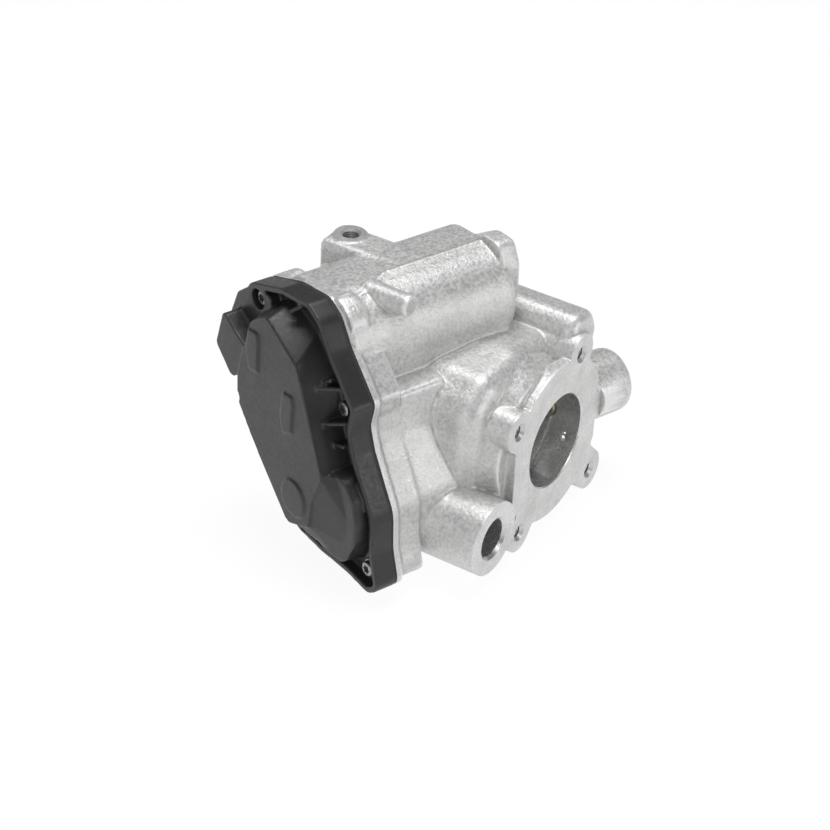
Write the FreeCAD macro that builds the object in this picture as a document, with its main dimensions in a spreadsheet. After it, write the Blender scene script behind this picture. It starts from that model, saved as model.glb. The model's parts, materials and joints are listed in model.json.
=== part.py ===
import FreeCAD, Part
import math
import os
import re
import Sketcher

# An electrically driven exhaust gas recirculation valve: a die-cast housing with a gas duct and a
# coolant spigot, a plastic actuator cover, and inside them a motor, two gear stages, a return spring
# and a butterfly flap on a through shaft.
# Frame: the origin is the centre of the gas port on its flange face. X is the axis of motor, gears and
# valve shaft and points away from the cover. Z is up. Millimetres throughout.

V = FreeCAD.Vector
doc = FreeCAD.newDocument("egr_valve")

SIZES = {
    # Gas duct and flange
    "port_tilt": 20.0,
    "port_bore": 20.0,
    "port_entry": 12.0,
    "port_relief": 20.6,
    "port_relief_length": 1.8,
    "duct_bore": 19.7,
    "duct_length": 62.0,
    "duct_outer": 28.5,
    "flange_outer": 35.2,
    "flange_left": 32.0,
    "flange_right": 32.0,
    "flange_thick": 5.0,
    "ear_outer": 8.6,
    "ear_length": 16.0,
    "tap_bore": 2.5,
    "tap_mouth": 3.7,
    "tap_length": 13.0,
    # Coolant spigot boss
    "spigot_across": -48.2,
    "spigot_up": -19.3,
    "spigot_outer": 15.7,
    "spigot_bore": 8.0,
    "spigot_proud": 2.0,
    "spigot_length": 46.0,
    "spigot_bore_length": 32.0,
    # Joint between housing and cover
    "joint_reach": 83.0,
    "rim_thick": 3.0,
    "wall_inset": 1.8,
    "pocket_inset": 4.2,
    "pocket_length": 11.0,
    "pocket_floor": 3.0,
    "gasket_thick": 0.8,
    "gasket_width": 2.6,
    "gasket_inset": 0.4,
    # Shaft lines, all parallel to X
    "shaft_back": 24.0,
    "motor_back": 50.0,
    "motor_up": 46.0,
    # Motor barrel of the casting
    "barrel_back": 46.0,
    "barrel_up": 51.0,
    "barrel_outer": 21.0,
    "barrel_floor": 10.2,
    "block_end": -47.0,
    # Far bearing stub
    "stub_outer": 13.7,
    "stub_end": 51.0,
    "stub_round": 4.0,
    # Valve shaft and flap
    "shaft_radius": 4.0,
    "shaft_far_end": 41.0,
    "fit_gap": 0.05,
    "head_gap": 0.3,
    "bush_length": 14.0,
    "bearing_length": 10.0,
    "seal_length": 5.0,
    "flap_radius": 19.3,
    "flap_thick": 1.8,
    "flap_hub": 6.2,
    "flap_hub_length": 20.0,
    "flap_pin_radius": 1.5,
    # Gears
    "motor_module": 0.75,
    "motor_teeth": 13,
    "wheel_teeth": 54,
    "sector_module": 1.0,
    "pinion_teeth": 20,
    "sector_teeth": 46,
    "valve_travel": 64.0,
    "backlash": 0.12,
    "wheel_thick": 5.0,
    "sector_thick": 5.4,
    "sector_hub": 7.4,
    "sector_hub_length": 4.6,
    "axle_radius": 2.5,
    "axle_seat": 8.0,
    "washer_thick": 0.8,
    # Return spring
    "spring_mean": 9.4,
    "spring_wire": 0.72,
    "spring_pitch": 1.6,
    "spring_turns": 3,
    "spring_lift": 0.3,
    # Motor
    "can_radius": 16.0,
    "can_wall": 1.2,
    "can_length": 56.0,
    "can_gap": 0.3,
    "end_plate_thick": 3.5,
    "end_nose": 6.5,
    "end_nose_length": 7.5,
    "magnet_thick": 3.4,
    "magnet_length": 34.0,
    "core_gap": 1.0,
    "core_length": 30.0,
    "core_slots": 10,
    "commutator_radius": 5.5,
    "commutator_length": 8.0,
    "motor_shaft": 1.6,
    "pinion_hub": 3.6,
    # Cover
    "skirt_height": 9.4,
    "skirt_wall": 2.5,
    "gutter_height": 4.6,
    "gutter_floor": 2.2,
    "dome_height": 18.2,
    "low_dome_height": 14.0,
    "dome_wall": 2.2,
    "dome_draft": 6.0,
    "block_height": 17.4,
    "socket_deep": 14.0,
    "socket_long": 19.0,
    "socket_high": 6.4,
    "socket_middle": 4.9,
    "terminal_pitch": 3.8,
    "terminal_side": 0.8,
    "terminal_set_back": 7.0,
    "terminal_count": 5,
    # Cover screws
    "screw_radius": 2.0,
    "screw_head": 3.9,
    "screw_head_height": 3.0,
    "screw_length": 9.0,
    "sleeve_wall": 1.1,
    "screw_boss": 7.2,
    "lobe_radius": 8.4,
    "lobe_short": 3.0,
    "neck_across": -9.0,
    "neck_up": 5.0,
    "stage_lap": 8.0,
    "ridge_length": 42.0,
    "ridge_start": -44.5,
    "lug_length": 42.0,
    "lug_start": -97.0,
    "core_pin_start": -62.0,
    "core_pin_length": 19.5,
    "core_pin_across": -46.0,
    "core_pin_up": 69.0,
    "back_bar_start": -90.0,
    "back_bar_length": 30.0,
    "back_bar_across": -38.0,
    "back_bar_up": 62.0,
    "stub_start": 5.0,
    "past": 1.0,
    "magnet_start": 14.0,
    "magnet_split": 9.0,
    "core_start": 16.0,
    "slot_depth": 2.4,
    "commutator_start": 2.0,
    "rotor_shaft_proud": 0.5,
    "holder_length": 9.0,
    "brush_start": 3.0,
    "brush_length": 5.0,
    "brush_width": 4.0,
    "brush_gap": 0.1,
    "ear_head_height": 2.4,
    "blade_length": 16.0,
    "blade_width": 4.0,
    "blade_thick": 0.8,
    "blade_apart": 9.0,
    "blade_up": 9.6,
    "dish_height": 2.6,
    "dish_gap": 0.1,
    "dish_rim": 1.0,
    "dish_slope": 4.0,
    "dish_wall": 1.2,
    "washer_wall": 2.6,
    "tab_hole_length": 14.5,
    "mill_depth": 12.0,
    "socket_past": 8.0,
    "bore_run": 30.0,
    "motor_nose_room": 2.8,
    "pad_height": 0.9,
    "round_pad": 8.0,
    "rib_width": 1.6,
    "rib_height": 8.0,
    "screw_boss_end": 12.0,
    "screw_wall": 4.4,
    "head_wall": 1.8,
    "web_reach": 6.0,
    "web_centre": 20.0,
    "barrel_round": 4.0,
    "collar_length": 9.0,
    "collar_round": 2.0,
    "jacket_front": 11.0,
    "jacket_round": 8.0,
    "neck_back": 37.0,
    "neck_front": 29.5,
    "ridge_round": 4.0,
    "tab_round": 2.0,
    "tab_x": -48.0,
    "tab_y": 78.0,
    "tab_top": 72.0,
    "tab_pad": 6.5,
    "tab_proud": 0.6,
    "tab_bore": 3.3,
    "pin_radius": 4.6,
    "boss_round": 2.5,
    "bearing_boss": 8.4,
    "gear_hub": 7.5,
    "axle_boss": 5.0,
    "seat_radius": 7.0,
    "bush_near_end": -31.0,
    "bush_far_start": 13.4,
    "far_length": 12.0,
    "far_seat_radius": 5.5,
    "nut_reach": 6.2,
    "nut_thick": 3.6,
    "magnet_radius": 5.5,
    "magnet_height": 3.6,
    "sector_web": 10.0,
    "ear_reach": 19.5,
    "ear_width": 4.6,
    "ear_screw": 1.7,
    "ear_head": 3.1,
    "ear_screw_length": 9.0,
    "holder_radius": 9.5,
    "core_slot": 1.3,
    "screw_drive": 2.1,
    "sleeve_gap": 0.2,
    "bearing_proud": 2.4,
    "axle_post_rise": 4.2,
    "wheel_rise": 6.4,
    "cone_step": 0.001,
    "board_thick": 1.4,
}

# Levels along X, counted from the origin towards the cover, and other places that follow from the sizes.
FORMULAS = {
    "pocket_level": "(joint_reach - pocket_length)",
    "barrel_end": "(can_length - pocket_level + motor_nose_room + barrel_floor)",
    "core_radius": "(can_radius - can_wall - magnet_thick - core_gap)",
    "cover_base": "(joint_reach + gasket_thick)",
    "gutter_level": "(cover_base + gutter_height)",
    "bearing_level": "(pocket_level + bearing_proud)",
    "washer_level": "(bearing_level + axle_post_rise)",
    "sector_level": "(bearing_level + washer_thick + sector_hub_length)",
    "sector_top": "(sector_level + sector_thick)",
    "pinion_level": "(sector_top + 0.4)",
    "wheel_level": "(pinion_level + wheel_rise)",
    "wheel_top": "(wheel_level + wheel_thick)",
    "axle_tip": "(wheel_top + 1.6)",
    "shaft_head": "(sector_top + nut_thick + 0.7)",
    "flap_middle": "(-shaft_back * tan(port_tilt))",
    "seat_wall": "(seat_radius - shaft_radius - fit_gap)",
    "far_wall": "(far_seat_radius - shaft_radius - fit_gap)",
    "axle_grip": "(axle_tip - pocket_level + axle_seat)",
    "sleeve_outer": "(screw_radius + sleeve_gap + sleeve_wall)",
}

sheet = doc.addObject("Spreadsheet::Sheet", "Sizes")
for row, (alias, value) in enumerate(SIZES.items(), start=1):
    sheet.set(f"A{row}", alias)
    sheet.set(f"B{row}", str(value))
    sheet.setAlias(f"B{row}", alias)
doc.recompute()


def size(alias):
    """The value of one cell of the sheet."""
    return float(getattr(sheet, alias))


def expression(text):
    """Turns the words of a formula that name sizes into references to the sheet."""

    def lookup(word):
        if word[0] in FORMULAS:
            return expression(FORMULAS[word[0]])
        return f"Sizes.{word[0]}" if word[0] in SIZES else word[0]

    return re.sub(r"[a-z_]+", lookup, str(text))


# Corners of the joint between housing and cover, in the Y Z plane: back, up, corner radius.
# The side towards the flange comes first, from the bottom up.
JOINT_CORNERS = [
    (-8.5, -31.5, 5), (-4.2, -17, 8), (-3.4, -1, 14), (9.8, 20.5, 14), (13.2, 30, 5), (10.6, 41, 4),
    (27, 58, 14), (34, 68.5, 9), (42, 72.8, 5), (60, 70.4, 10), (82, 62.5, 6), (90, 44, 8), (89, 20, 14),
    (76, -6, 14), (60, -24, 14), (46, -34, 10), (30, -35.2, 20), (12, -34.6, 8), (-2, -36, 5),
]
# Cover screws, back and up.
CORNER_BOSS = [(39.4, 64.2), (36.6, 62.6)]
SCREWS = [(1.6, -27.4), (20.3, 36.6), (76, 57.6), (80, 15), (57.5, -17), (42, -28.6)]
# Cover's dome over the first gear stage: its foot, and its top with a corner for each one of the foot.
DOME_FOOT = [
    (72, 57.5, 5), (59, 66.5, 4), (43, 62.5, 2.5), (23.5, 45.5, 4), (22.3, 27, 6), (14, 9, 5),
    (20.5, -6, 4),
    (22, -22.5, 4), (41, -27.5, 6), (68.5, -0.5, 6), (79.5, 13, 6), (79.5, 29, 8),
]
DOME_TOP = [
    (68, 54.5, 4), (56.5, 62, 3), (36.6, 50.5, 2), (33.2, 43, 4), (26, 27.2, 6), (18.3, 9.3, 5),
    (24.5, -5, 3),
    (26.4, -18.6, 3), (41, -24.5, 5), (66.2, 1.3, 5), (77, 14.3, 5), (77, 27.2, 7),
]
# Foot of the lower dome over the valve shaft.
LOW_DOME = [
    (9, 13, 8), (2.2, 6, 6), (-0.5, -4, 8), (0.2, -14, 8), (7.5, -28, 8), (27, -29, 8), (32, -6, 8),
    (24, 13, 6),
]
# Flat pads raised on the dome, a round pad's middle, and the ribs from the dome to the skirt.
DOME_PADS = [
    [(68.8, 51.3, 1), (62.4, 52, 1), (61.4, 48.5, 1), (61.8, 34.5, 1), (68, 33.5, 1), (70, 40, 1)],
    [(44.5, 35.1, 1), (38.4, 36, 1), (37.2, 32.8, 1), (38.4, 19.4, 1), (44.1, 16.3, 1), (46, 24, 1)],
]
ROUND_PAD = (36.5, -9.9)
COVER_RIBS = [((16, 22.5), (24, 20)), ((25.5, 47.5), (32, 43))]
# Plate that holds the plug socket and stands past the joint, and the block that stands up from it.
SOCKET_PLATE = [
    (66, 63, 3), (80, 62.3, 4), (90.5, 54, 4), (99, 34, 4), (95, 28, 3), (85, 26, 3), (72, 32, 3)
]
SOCKET_BLOCK = [(72, 40, 2), (80, 43.5, 1.5), (88.6, 49, 2), (94, 31.5, 3), (82.4, 21, 3), (72, 30, 2)]
# Sensor board under the lower dome.
BOARD = [(9, -13, 3), (21.5, -15, 3), (21.5, 4, 4), (9, 4, 3)]
# Holes in the flange: across and up in the face of the flange.
FLANGE_HOLES = [(15.6, 33.2), (-30.2, 20.1), (31.2, -31.3), (-24.5, -31.2)]

ALONG_X = FreeCAD.Rotation(V(1, 1, 1), 120)
ALONG_PORT = FreeCAD.Rotation(V(0, 0, 1), size("port_tilt")) * FreeCAD.Rotation(V(1, 0, 0), 90)


def meeting_point(first, reach_first, second, reach_second):
    """Where two circles in the Y Z plane meet, on the side away from the flange."""
    gap_y = second[0] - first[0]
    gap_z = second[1] - first[1]
    span = math.hypot(gap_y, gap_z)
    along = (reach_first**2 - reach_second**2 + span**2) / (2 * span)
    aside = math.sqrt(reach_first**2 - along**2)
    unit_y = gap_y / span
    unit_z = gap_z / span
    return first[0] + along * unit_y + aside * unit_z, first[1] + along * unit_z - aside * unit_y


SHAFT = (size("shaft_back"), 0.0)
MOTOR = (size("motor_back"), size("motor_up"))
SECTOR_REACH = size("sector_module") * (size("pinion_teeth") + size("sector_teeth")) / 2
WHEEL_REACH = size("motor_module") * (size("motor_teeth") + size("wheel_teeth")) / 2
AXLE = meeting_point(SHAFT, SECTOR_REACH, MOTOR, WHEEL_REACH)


def heading(start, end):
    """Direction from one point of the Y Z plane to another, in degrees."""
    return math.degrees(math.atan2(end[1] - start[1], end[0] - start[0]))


def place(thing, x, y, z, turn=ALONG_X):
    """Sets a piece in an orientation, at a place given by three formulas or numbers."""
    thing.Placement = FreeCAD.Placement(V(0, 0, 0), turn)
    for axis, text in zip("xyz", (x, y, z)):
        thing.setExpression(f"Placement.Base.{axis}", expression(str(text)))


def place_port(thing, across, up, out):
    """Sets a piece in the frame of the flange face: across it, up it and out of it."""
    x = f"( {across} ) * cos( port_tilt ) + ( {out} ) * sin( port_tilt )"
    y = f"( {across} ) * sin( port_tilt ) - ( {out} ) * cos( port_tilt )"
    place(thing, x, y, up, ALONG_PORT)


def rod(name, radius, length):
    """A round bar with its radius and length bound to the sheet."""
    bar = doc.addObject("Part::Cylinder", name)
    bar.setExpression("Radius", expression(radius))
    bar.setExpression("Height", expression(length))
    return bar


def rod_x(name, radius, start, length, at=(0, 0)):
    """A round bar along X that starts at the given X."""
    bar = rod(name, radius, length)
    place(bar, start, at[0], at[1])
    return bar


def rod_port(name, radius, out, length, across="0", up="0"):
    """A round bar square to the flange face, from a place below or above it outwards."""
    bar = rod(name, radius, length)
    place_port(bar, across, up, out)
    return bar


def cone_port(name, inner, mouth, out, length, across="0", up="0"):
    """A countersink square to the flange face."""
    cone = doc.addObject("Part::Cone", name)
    cone.setExpression("Radius1", expression(inner))
    cone.setExpression("Radius2", expression(mouth))
    cone.setExpression("Height", expression(length))
    place_port(cone, across, up, out)
    return cone


def box_x(name, sides, corner):
    """A box with its sides along X, Y and Z."""
    block = doc.addObject("Part::Box", name)
    for side, text in zip(("Length", "Width", "Height"), sides):
        block.setExpression(side, expression(str(text)))
    place(block, *corner, FreeCAD.Rotation())
    return block


def fuse(name, pieces):
    """One solid out of several."""
    joined = doc.addObject("Part::MultiFuse", name)
    joined.Shapes = pieces
    return joined


def cut(name, base, tools):
    """The base with the tools taken away."""
    rest = doc.addObject("Part::Cut", name)
    rest.Base = base
    rest.Tool = tools if not isinstance(tools, list) else fuse(name + "_tools", tools)
    return rest


def ring_x(name, inner, wall, start, length, at):
    """A bush, bearing or seal along X."""
    outer = rod_x(name + "_outer", f"{inner} + {wall}", start, length, at)
    bore = rod_x(name + "_bore", inner, f"{start} - 1", f"{length} + 2", at)
    return cut(name, outer, bore)


def rounded(corners):
    """Lines and arcs of a closed outline through the corners, each with its own radius."""
    arcs = []
    count = len(corners)
    for index in range(count):
        before = V(*corners[index - 1][:2])
        here = V(*corners[index][:2])
        after = V(*corners[(index + 1) % count][:2])
        back = (before - here).normalize()
        ahead = (after - here).normalize()
        half = math.acos(max(-1, min(1, back * ahead))) / 2
        radius = corners[index][2]
        room = 0.48 * min((before - here).Length, (after - here).Length)
        step = min(radius / math.tan(half), room)
        radius = step * math.tan(half)
        middle = here + (back + ahead).normalize() * (radius / math.sin(half))
        crown = middle + (here - middle).normalize() * radius
        arcs.append((here + back * step, crown, here + ahead * step))
    edges = []
    for index, (start, crown, end) in enumerate(arcs):
        edges.append(Part.Arc(start, crown, end))
        edges.append(Part.LineSegment(end, arcs[(index + 1) % count][0]))
    return edges


def polygon(points):
    """Lines of a closed outline with sharp corners."""
    return [
        Part.LineSegment(V(*points[index - 1]), V(*points[index]))
        for index in range(len(points))
    ]


def sketch(name, edges):
    """A sketch that lies in its own plane until it is placed."""
    drawing = doc.addObject("Sketcher::SketchObject", name)
    drawing.addGeometry(edges, False)
    return drawing


def offset(name, drawing, grow):
    """The outline of a sketch moved out or in by a distance bound to the sheet."""
    outline = doc.addObject("Part::Offset2D", name)
    outline.Source = drawing
    outline.Join = 0
    outline.setExpression("Value", expression(grow))
    return outline


def extrude(name, outline, length, towards=1, draft=None):
    """A prism on an outline, along X or towards the cover."""
    prism = doc.addObject("Part::Extrusion", name)
    prism.Base = outline
    prism.DirMode = "Custom"
    prism.Dir = V(towards, 0, 0)
    prism.Solid = True
    prism.setExpression("LengthFwd", expression(length))
    if draft:
        prism.setExpression("TaperAngle", expression(f"-{draft}"))
    return prism


def pad(name, edges, length, round_edge=None, radius=None):
    """A body with one padded sketch, its far edge rounded where asked. A circle's radius can be bound."""
    body = doc.addObject("PartDesign::Body", name)
    drawing = body.newObject("Sketcher::SketchObject", name + "_sketch")
    plane = next(item for item in body.Origin.OriginFeatures if item.Role == "XY_Plane")
    drawing.AttachmentSupport = (plane, [""])
    drawing.MapMode = "FlatFace"
    drawing.addGeometry(edges, False)
    if radius:
        drawing.addConstraint(Sketcher.Constraint("Radius", 0, size(radius)))
        drawing.setExpression("Constraints[0]", expression(radius))
    prism = body.newObject("PartDesign::Pad", name + "_pad")
    prism.Profile = drawing
    prism.setExpression("Length", expression(length))
    doc.recompute()
    if round_edge:
        top = max(vertex.Z for vertex in prism.Shape.Vertexes)
        names = [
            f"Edge{number}"
            for number, edge in enumerate(prism.Shape.Edges, start=1)
            if min(vertex.Z for vertex in edge.Vertexes) > top - 0.01
        ]
        rounding = body.newObject("PartDesign::Fillet", name + "_round")
        rounding.Base = (prism, names)
        rounding.setExpression("Radius", expression(round_edge))
        body.Tip = rounding
        doc.recompute()
    return body


def round_bar(name, radius, length, round_edge):
    """A body that is a round bar with its far edge rounded."""
    return pad(name, [Part.Circle(V(), V(0, 0, 1), size(radius))], length, round_edge, radius)


def slot(start, end, radius):
    """Closed outline of a bar with round ends."""
    start = V(*start)
    end = V(*end)
    ahead = (end - start).normalize() * radius
    aside = V(-ahead.y, ahead.x)
    return [
        Part.LineSegment(start - aside, end - aside),
        Part.Arc(end - aside, end + ahead, end + aside),
        Part.LineSegment(end + aside, start + aside),
        Part.Arc(start + aside, start - ahead, start - aside),
    ]


def tooth_outline(module, teeth, phase, first=0, last=None):
    """Points of involute teeth, tooth by tooth, anticlockwise. Tooth 0 stands at the phase angle."""
    pitch = module * teeth / 2
    base = pitch * math.cos(math.radians(20))
    root = pitch - 1.2 * module
    tip = pitch + module
    last = teeth if last is None else last
    half = math.pi / (2 * teeth) - size("backlash") / (2 * pitch)
    points = []

    def spread(radius):
        lean = math.acos(min(1, base / radius)) if radius > base else 0
        return half + (math.tan(math.radians(20)) - math.radians(20)) - (math.tan(lean) - lean)

    radii = [root, max(base, root + 0.05), pitch + 0.1 * module, tip]
    for tooth in range(first, last):
        centre = math.radians(phase) + 2 * math.pi * tooth / teeth
        for radius in radii:
            points.append((radius, centre - spread(radius)))
        for radius in reversed(radii):
            points.append((radius, centre + spread(radius)))
    return [(radius * math.cos(angle), radius * math.sin(angle)) for radius, angle in points]


def gear(name, module, teeth, phase, length, start, at):
    """A spur gear along X with involute teeth."""
    body = pad(name, polygon(tooth_outline(module, teeth, phase)), length)
    place(body, start, at[0], at[1])
    return body


# Profiles of the casting. The first group lies in the Y Z plane, the second in the flange face.
FRONT_BLOCK = [
    (-1, -30.5, 6), (-0.6, -1.5, 14), (12.6, 21, 14), (15.6, 37.6, 2), (62, 37.6, 4), (62, -20, 10),
    (46, -30.5, 8),
]
BARREL_REAR = [(38, 25.5, 6), (71, 25.5, 9), (71, 70.5, 9), (47, 72, 4), (38, 68, 3)]
BARREL_COLLAR = [
    (31, 50, 4), (31.5, 66, 4), (36, 75, 4), (46, 75, 5), (56, 69, 6), (60, 50, 6), (46, 40, 6)
]
JACKET = [
    (-46.5, -13, 8), (-47.5, 14, 14), (-45, 31, 10), (-33, 39.5, 10), (-12, 42, 14), (14, 40, 10),
    (28, 30, 8), (28.5, -8, 14), (20, -24, 12), (0, -30, 16), (-26, -29, 8),
]
TOP_RIDGE = [(12, 26, 3), (11.5, 44, 6), (17, 48, 6), (28, 47, 6), (32.5, 38, 6), (28, 22, 3)]
TAB_LUG = [(-29, 54, 4), (-29, 72, 3), (-14, 72, 2), (-4, 66, 3), (-4, 52, 4)]


def joint_outline(name, level):
    """The outline that the housing, gasket and cover share, drawn on the face of one of them."""
    drawing = sketch(name, rounded(JOINT_CORNERS))
    place(drawing, level, 0, 0)
    return drawing


def flange_pieces():
    """Disc of the flange, clipped at both sides, with four ears that run on behind it."""
    disc = rod_port("flange_disc", "flange_outer", "-flange_thick", "flange_thick")
    clip = doc.addObject("Part::Box", "flange_clip")
    clip.setExpression("Length", expression("flange_left + flange_right"))
    clip.setExpression("Width", expression("2.2 * flange_outer"))
    clip.setExpression("Height", expression("flange_thick"))
    place_port(clip, "-flange_left", "-1.1 * flange_outer", "-flange_thick")
    plate = doc.addObject("Part::Common", "flange_plate")
    plate.Base = disc
    plate.Tool = clip
    pieces = [plate]
    for number, (across, up) in enumerate(FLANGE_HOLES, start=1):
        arm = pad(f"flange_arm_{number}", slot((0, 0), (across, up), size("ear_outer")), "flange_thick")
        place_port(arm, 0, 0, "-flange_thick")
        post = rod_port(f"flange_post_{number}", "ear_outer", "-ear_length", "ear_length", across, up)
        pieces += [arm, post]
    return pieces


def casting_pieces(joint):
    """Everything that adds material to the housing."""
    pieces = flange_pieces()
    pieces.append(extrude("joint_rim", joint, "rim_thick"))
    wall = offset("gear_wall_line", joint, "-wall_inset")
    pieces.append(extrude("gear_wall", wall, "pocket_length + pocket_floor"))

    block = pad("front_block", rounded(FRONT_BLOCK), "joint_reach - 1 + block_end")
    place(block, "-joint_reach + 1", 0, 0)
    barrel = round_bar("barrel", "barrel_outer", "joint_reach - 1 + barrel_end", "barrel_round")
    place(barrel, "-joint_reach + 1", "barrel_back", "barrel_up")
    rear = pad("barrel_rear", rounded(BARREL_REAR), "joint_reach - 1 + barrel_end", "barrel_round")
    place(rear, "-joint_reach + 1", 0, 0)
    collar = pad("barrel_collar", rounded(BARREL_COLLAR), "collar_length", "collar_round")
    place(collar, "barrel_end - collar_length + 5", 0, 0)
    pieces += [block, barrel, rear, collar]

    jacket = pad("duct_jacket", rounded(JACKET), "duct_length - jacket_front - stage_lap", "jacket_round")
    place_port(jacket, 0, 0, "stage_lap - duct_length")
    neck = cone_port(
        "flange_neck", "neck_back", "neck_front",
        "-jacket_front - stage_lap", "jacket_front + stage_lap / 2", "neck_across", "neck_up",
    )
    tail = rod_port("duct_tail", "duct_outer", "-duct_length", "duct_length - 10")
    stub = round_bar("bearing_stub", "stub_outer", "stub_end - stub_start", "stub_round")
    place(stub, "stub_start", "shaft_back", 0)
    pieces += [jacket, neck, tail, stub]

    ridge = pad("top_ridge", rounded(TOP_RIDGE), "ridge_length", "ridge_round")
    place_port(ridge, 0, 0, "ridge_start")
    spigot = rod_port(
        "spigot_boss", "spigot_outer", "spigot_proud - spigot_length", "spigot_length",
        "spigot_across", "spigot_up",
    )
    lug = pad("tab_lug", rounded(TAB_LUG), "lug_length", "tab_round")
    place_port(lug, 0, 0, "lug_start")
    seat = rod("tab_seat", "tab_pad", "tab_proud")
    place(seat, "tab_x", "tab_y", "tab_top", FreeCAD.Rotation())
    pin = rod_port(
        "core_pin", "pin_radius", "core_pin_start", "core_pin_length", "core_pin_across", "core_pin_up"
    )
    bar = rod_port(
        "back_bar", "pin_radius + 1", "back_bar_start", "back_bar_length", "back_bar_across", "back_bar_up"
    )
    pieces += [ridge, spigot, lug, seat, pin, bar]

    lobe = pad(
        "corner_boss", slot(*CORNER_BOSS, size("lobe_radius")), "screw_boss_end - lobe_short", "boss_round"
    )
    place(lobe, "-joint_reach + 1", 0, 0)
    pieces.append(lobe)
    for number, (back, up) in enumerate(SCREWS, start=1):
        boss = round_bar(f"screw_boss_{number}", "screw_boss", "screw_boss_end - 1", "boss_round")
        place(boss, "-joint_reach + 1", back, up)
        pieces.append(boss)
    return pieces


def at_screws(name, radius, start, length):
    """A round bar at each cover screw."""
    return [
        rod_x(f"{name}_{number}", radius, start, length, at) for number, at in enumerate(SCREWS, start=1)
    ]


def screw_webs(name, start, length):
    """A round-ended web at each cover screw that runs out to the wall of the joint."""
    webs = []
    for number, at in enumerate(SCREWS, start=1):
        away = (V(*at) - V(size("shaft_back") + size("web_centre"), size("web_centre"))).normalize()
        web = pad(
            f"{name}_{number}",
            slot(at, tuple(V(*at) + away * size("web_reach"))[:2], size("screw_wall")), length,
        )
        place(web, start, 0, 0)
        webs.append(web)
    return webs


def gear_pocket(joint):
    """The recess for the gears, with a post left standing round each cover screw and at each bearing."""
    line = offset("gear_pocket_line", joint, "-pocket_inset")
    recess = extrude("gear_recess", line, "pocket_length")
    posts = screw_webs("screw_post", "-joint_reach - 1", "pocket_length + 2")
    posts.append(rod_x("axle_post", "axle_boss", "-washer_level", "pocket_length", AXLE))
    posts.append(rod_x("bearing_post", "bearing_boss", "-bearing_level", "pocket_length", SHAFT))
    return cut("gear_pocket", recess, posts)


def casting_tools(joint):
    """Everything that is bored or milled out of the housing."""
    tools = [gear_pocket(joint), extrude("joint_mill", joint, "mill_depth", -1)]
    tools.append(rod_port("duct_bore", "duct_bore", "-duct_length - past", "duct_length + 2 * past"))
    tools.append(rod_port("port_entry_bore", "port_bore", "-port_entry", "port_entry + past"))
    tools.append(
        rod_port(
            "port_relief_bore", "port_relief", "-port_entry - port_relief_length", "port_relief_length"
        )
    )
    tools.append(
        rod_port(
            "spigot_bore", "spigot_bore", "spigot_proud - spigot_bore_length", "spigot_bore_length + 1",
            "spigot_across", "spigot_up",
        )
    )
    tools.append(
        cone_port(
            "spigot_mouth", "spigot_bore", "spigot_bore + 1", "spigot_proud - 1", "1 + cone_step",
            "spigot_across", "spigot_up",
        )
    )
    for number, (across, up) in enumerate(FLANGE_HOLES, start=1):
        tools.append(rod_port(f"tap_{number}", "tap_bore", "-tap_length", "tap_length + 1", across, up))
        tools.append(
            cone_port(
                f"tap_mouth_{number}", "tap_bore", "tap_mouth", "tap_bore - tap_mouth",
                "tap_mouth - tap_bore + cone_step", across, up,
            )
        )
    tools.append(rod_x("shaft_bore", "seat_radius", "-joint_reach", "joint_reach + flap_middle", SHAFT))
    tools.append(
        rod_x("far_seat", "far_seat_radius", "flap_middle", "shaft_far_end + past - flap_middle", SHAFT)
    )
    tools.append(
        rod_x(
            "motor_bore", "can_radius + can_gap", "-pocket_level - past / 2",
            "can_length + motor_nose_room + past / 2", MOTOR,
        )
    )
    tools.append(
        rod_x(
            "axle_hole", "axle_radius", "-washer_level - 1",
            "washer_level - pocket_level + 1 + axle_seat", AXLE,
        )
    )
    tools += at_screws("screw_hole", "screw_radius", "-joint_reach - 1", "screw_length + 1")
    for number, at in enumerate(motor_ears(), start=1):
        tools.append(
            rod_x(f"ear_hole_{number}", "ear_screw", "-pocket_level - 1", "ear_screw_length + 1", at)
        )
    hole = rod("tab_hole", "tab_bore", "tab_hole_length + past")
    place(hole, "tab_x", "tab_y", "tab_top + tab_proud - tab_hole_length", FreeCAD.Rotation())
    tools.append(hole)
    return tools


def motor_ears():
    """Places of the two ears that hold the motor's end plate."""
    return [(MOTOR[0] - size("ear_reach"), MOTOR[1]), (MOTOR[0] + size("ear_reach"), MOTOR[1])]


def build_housing(joint):
    """The die-cast housing."""
    solid = fuse("casting", casting_pieces(joint))
    return cut("valve_housing", solid, casting_tools(joint))


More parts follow.
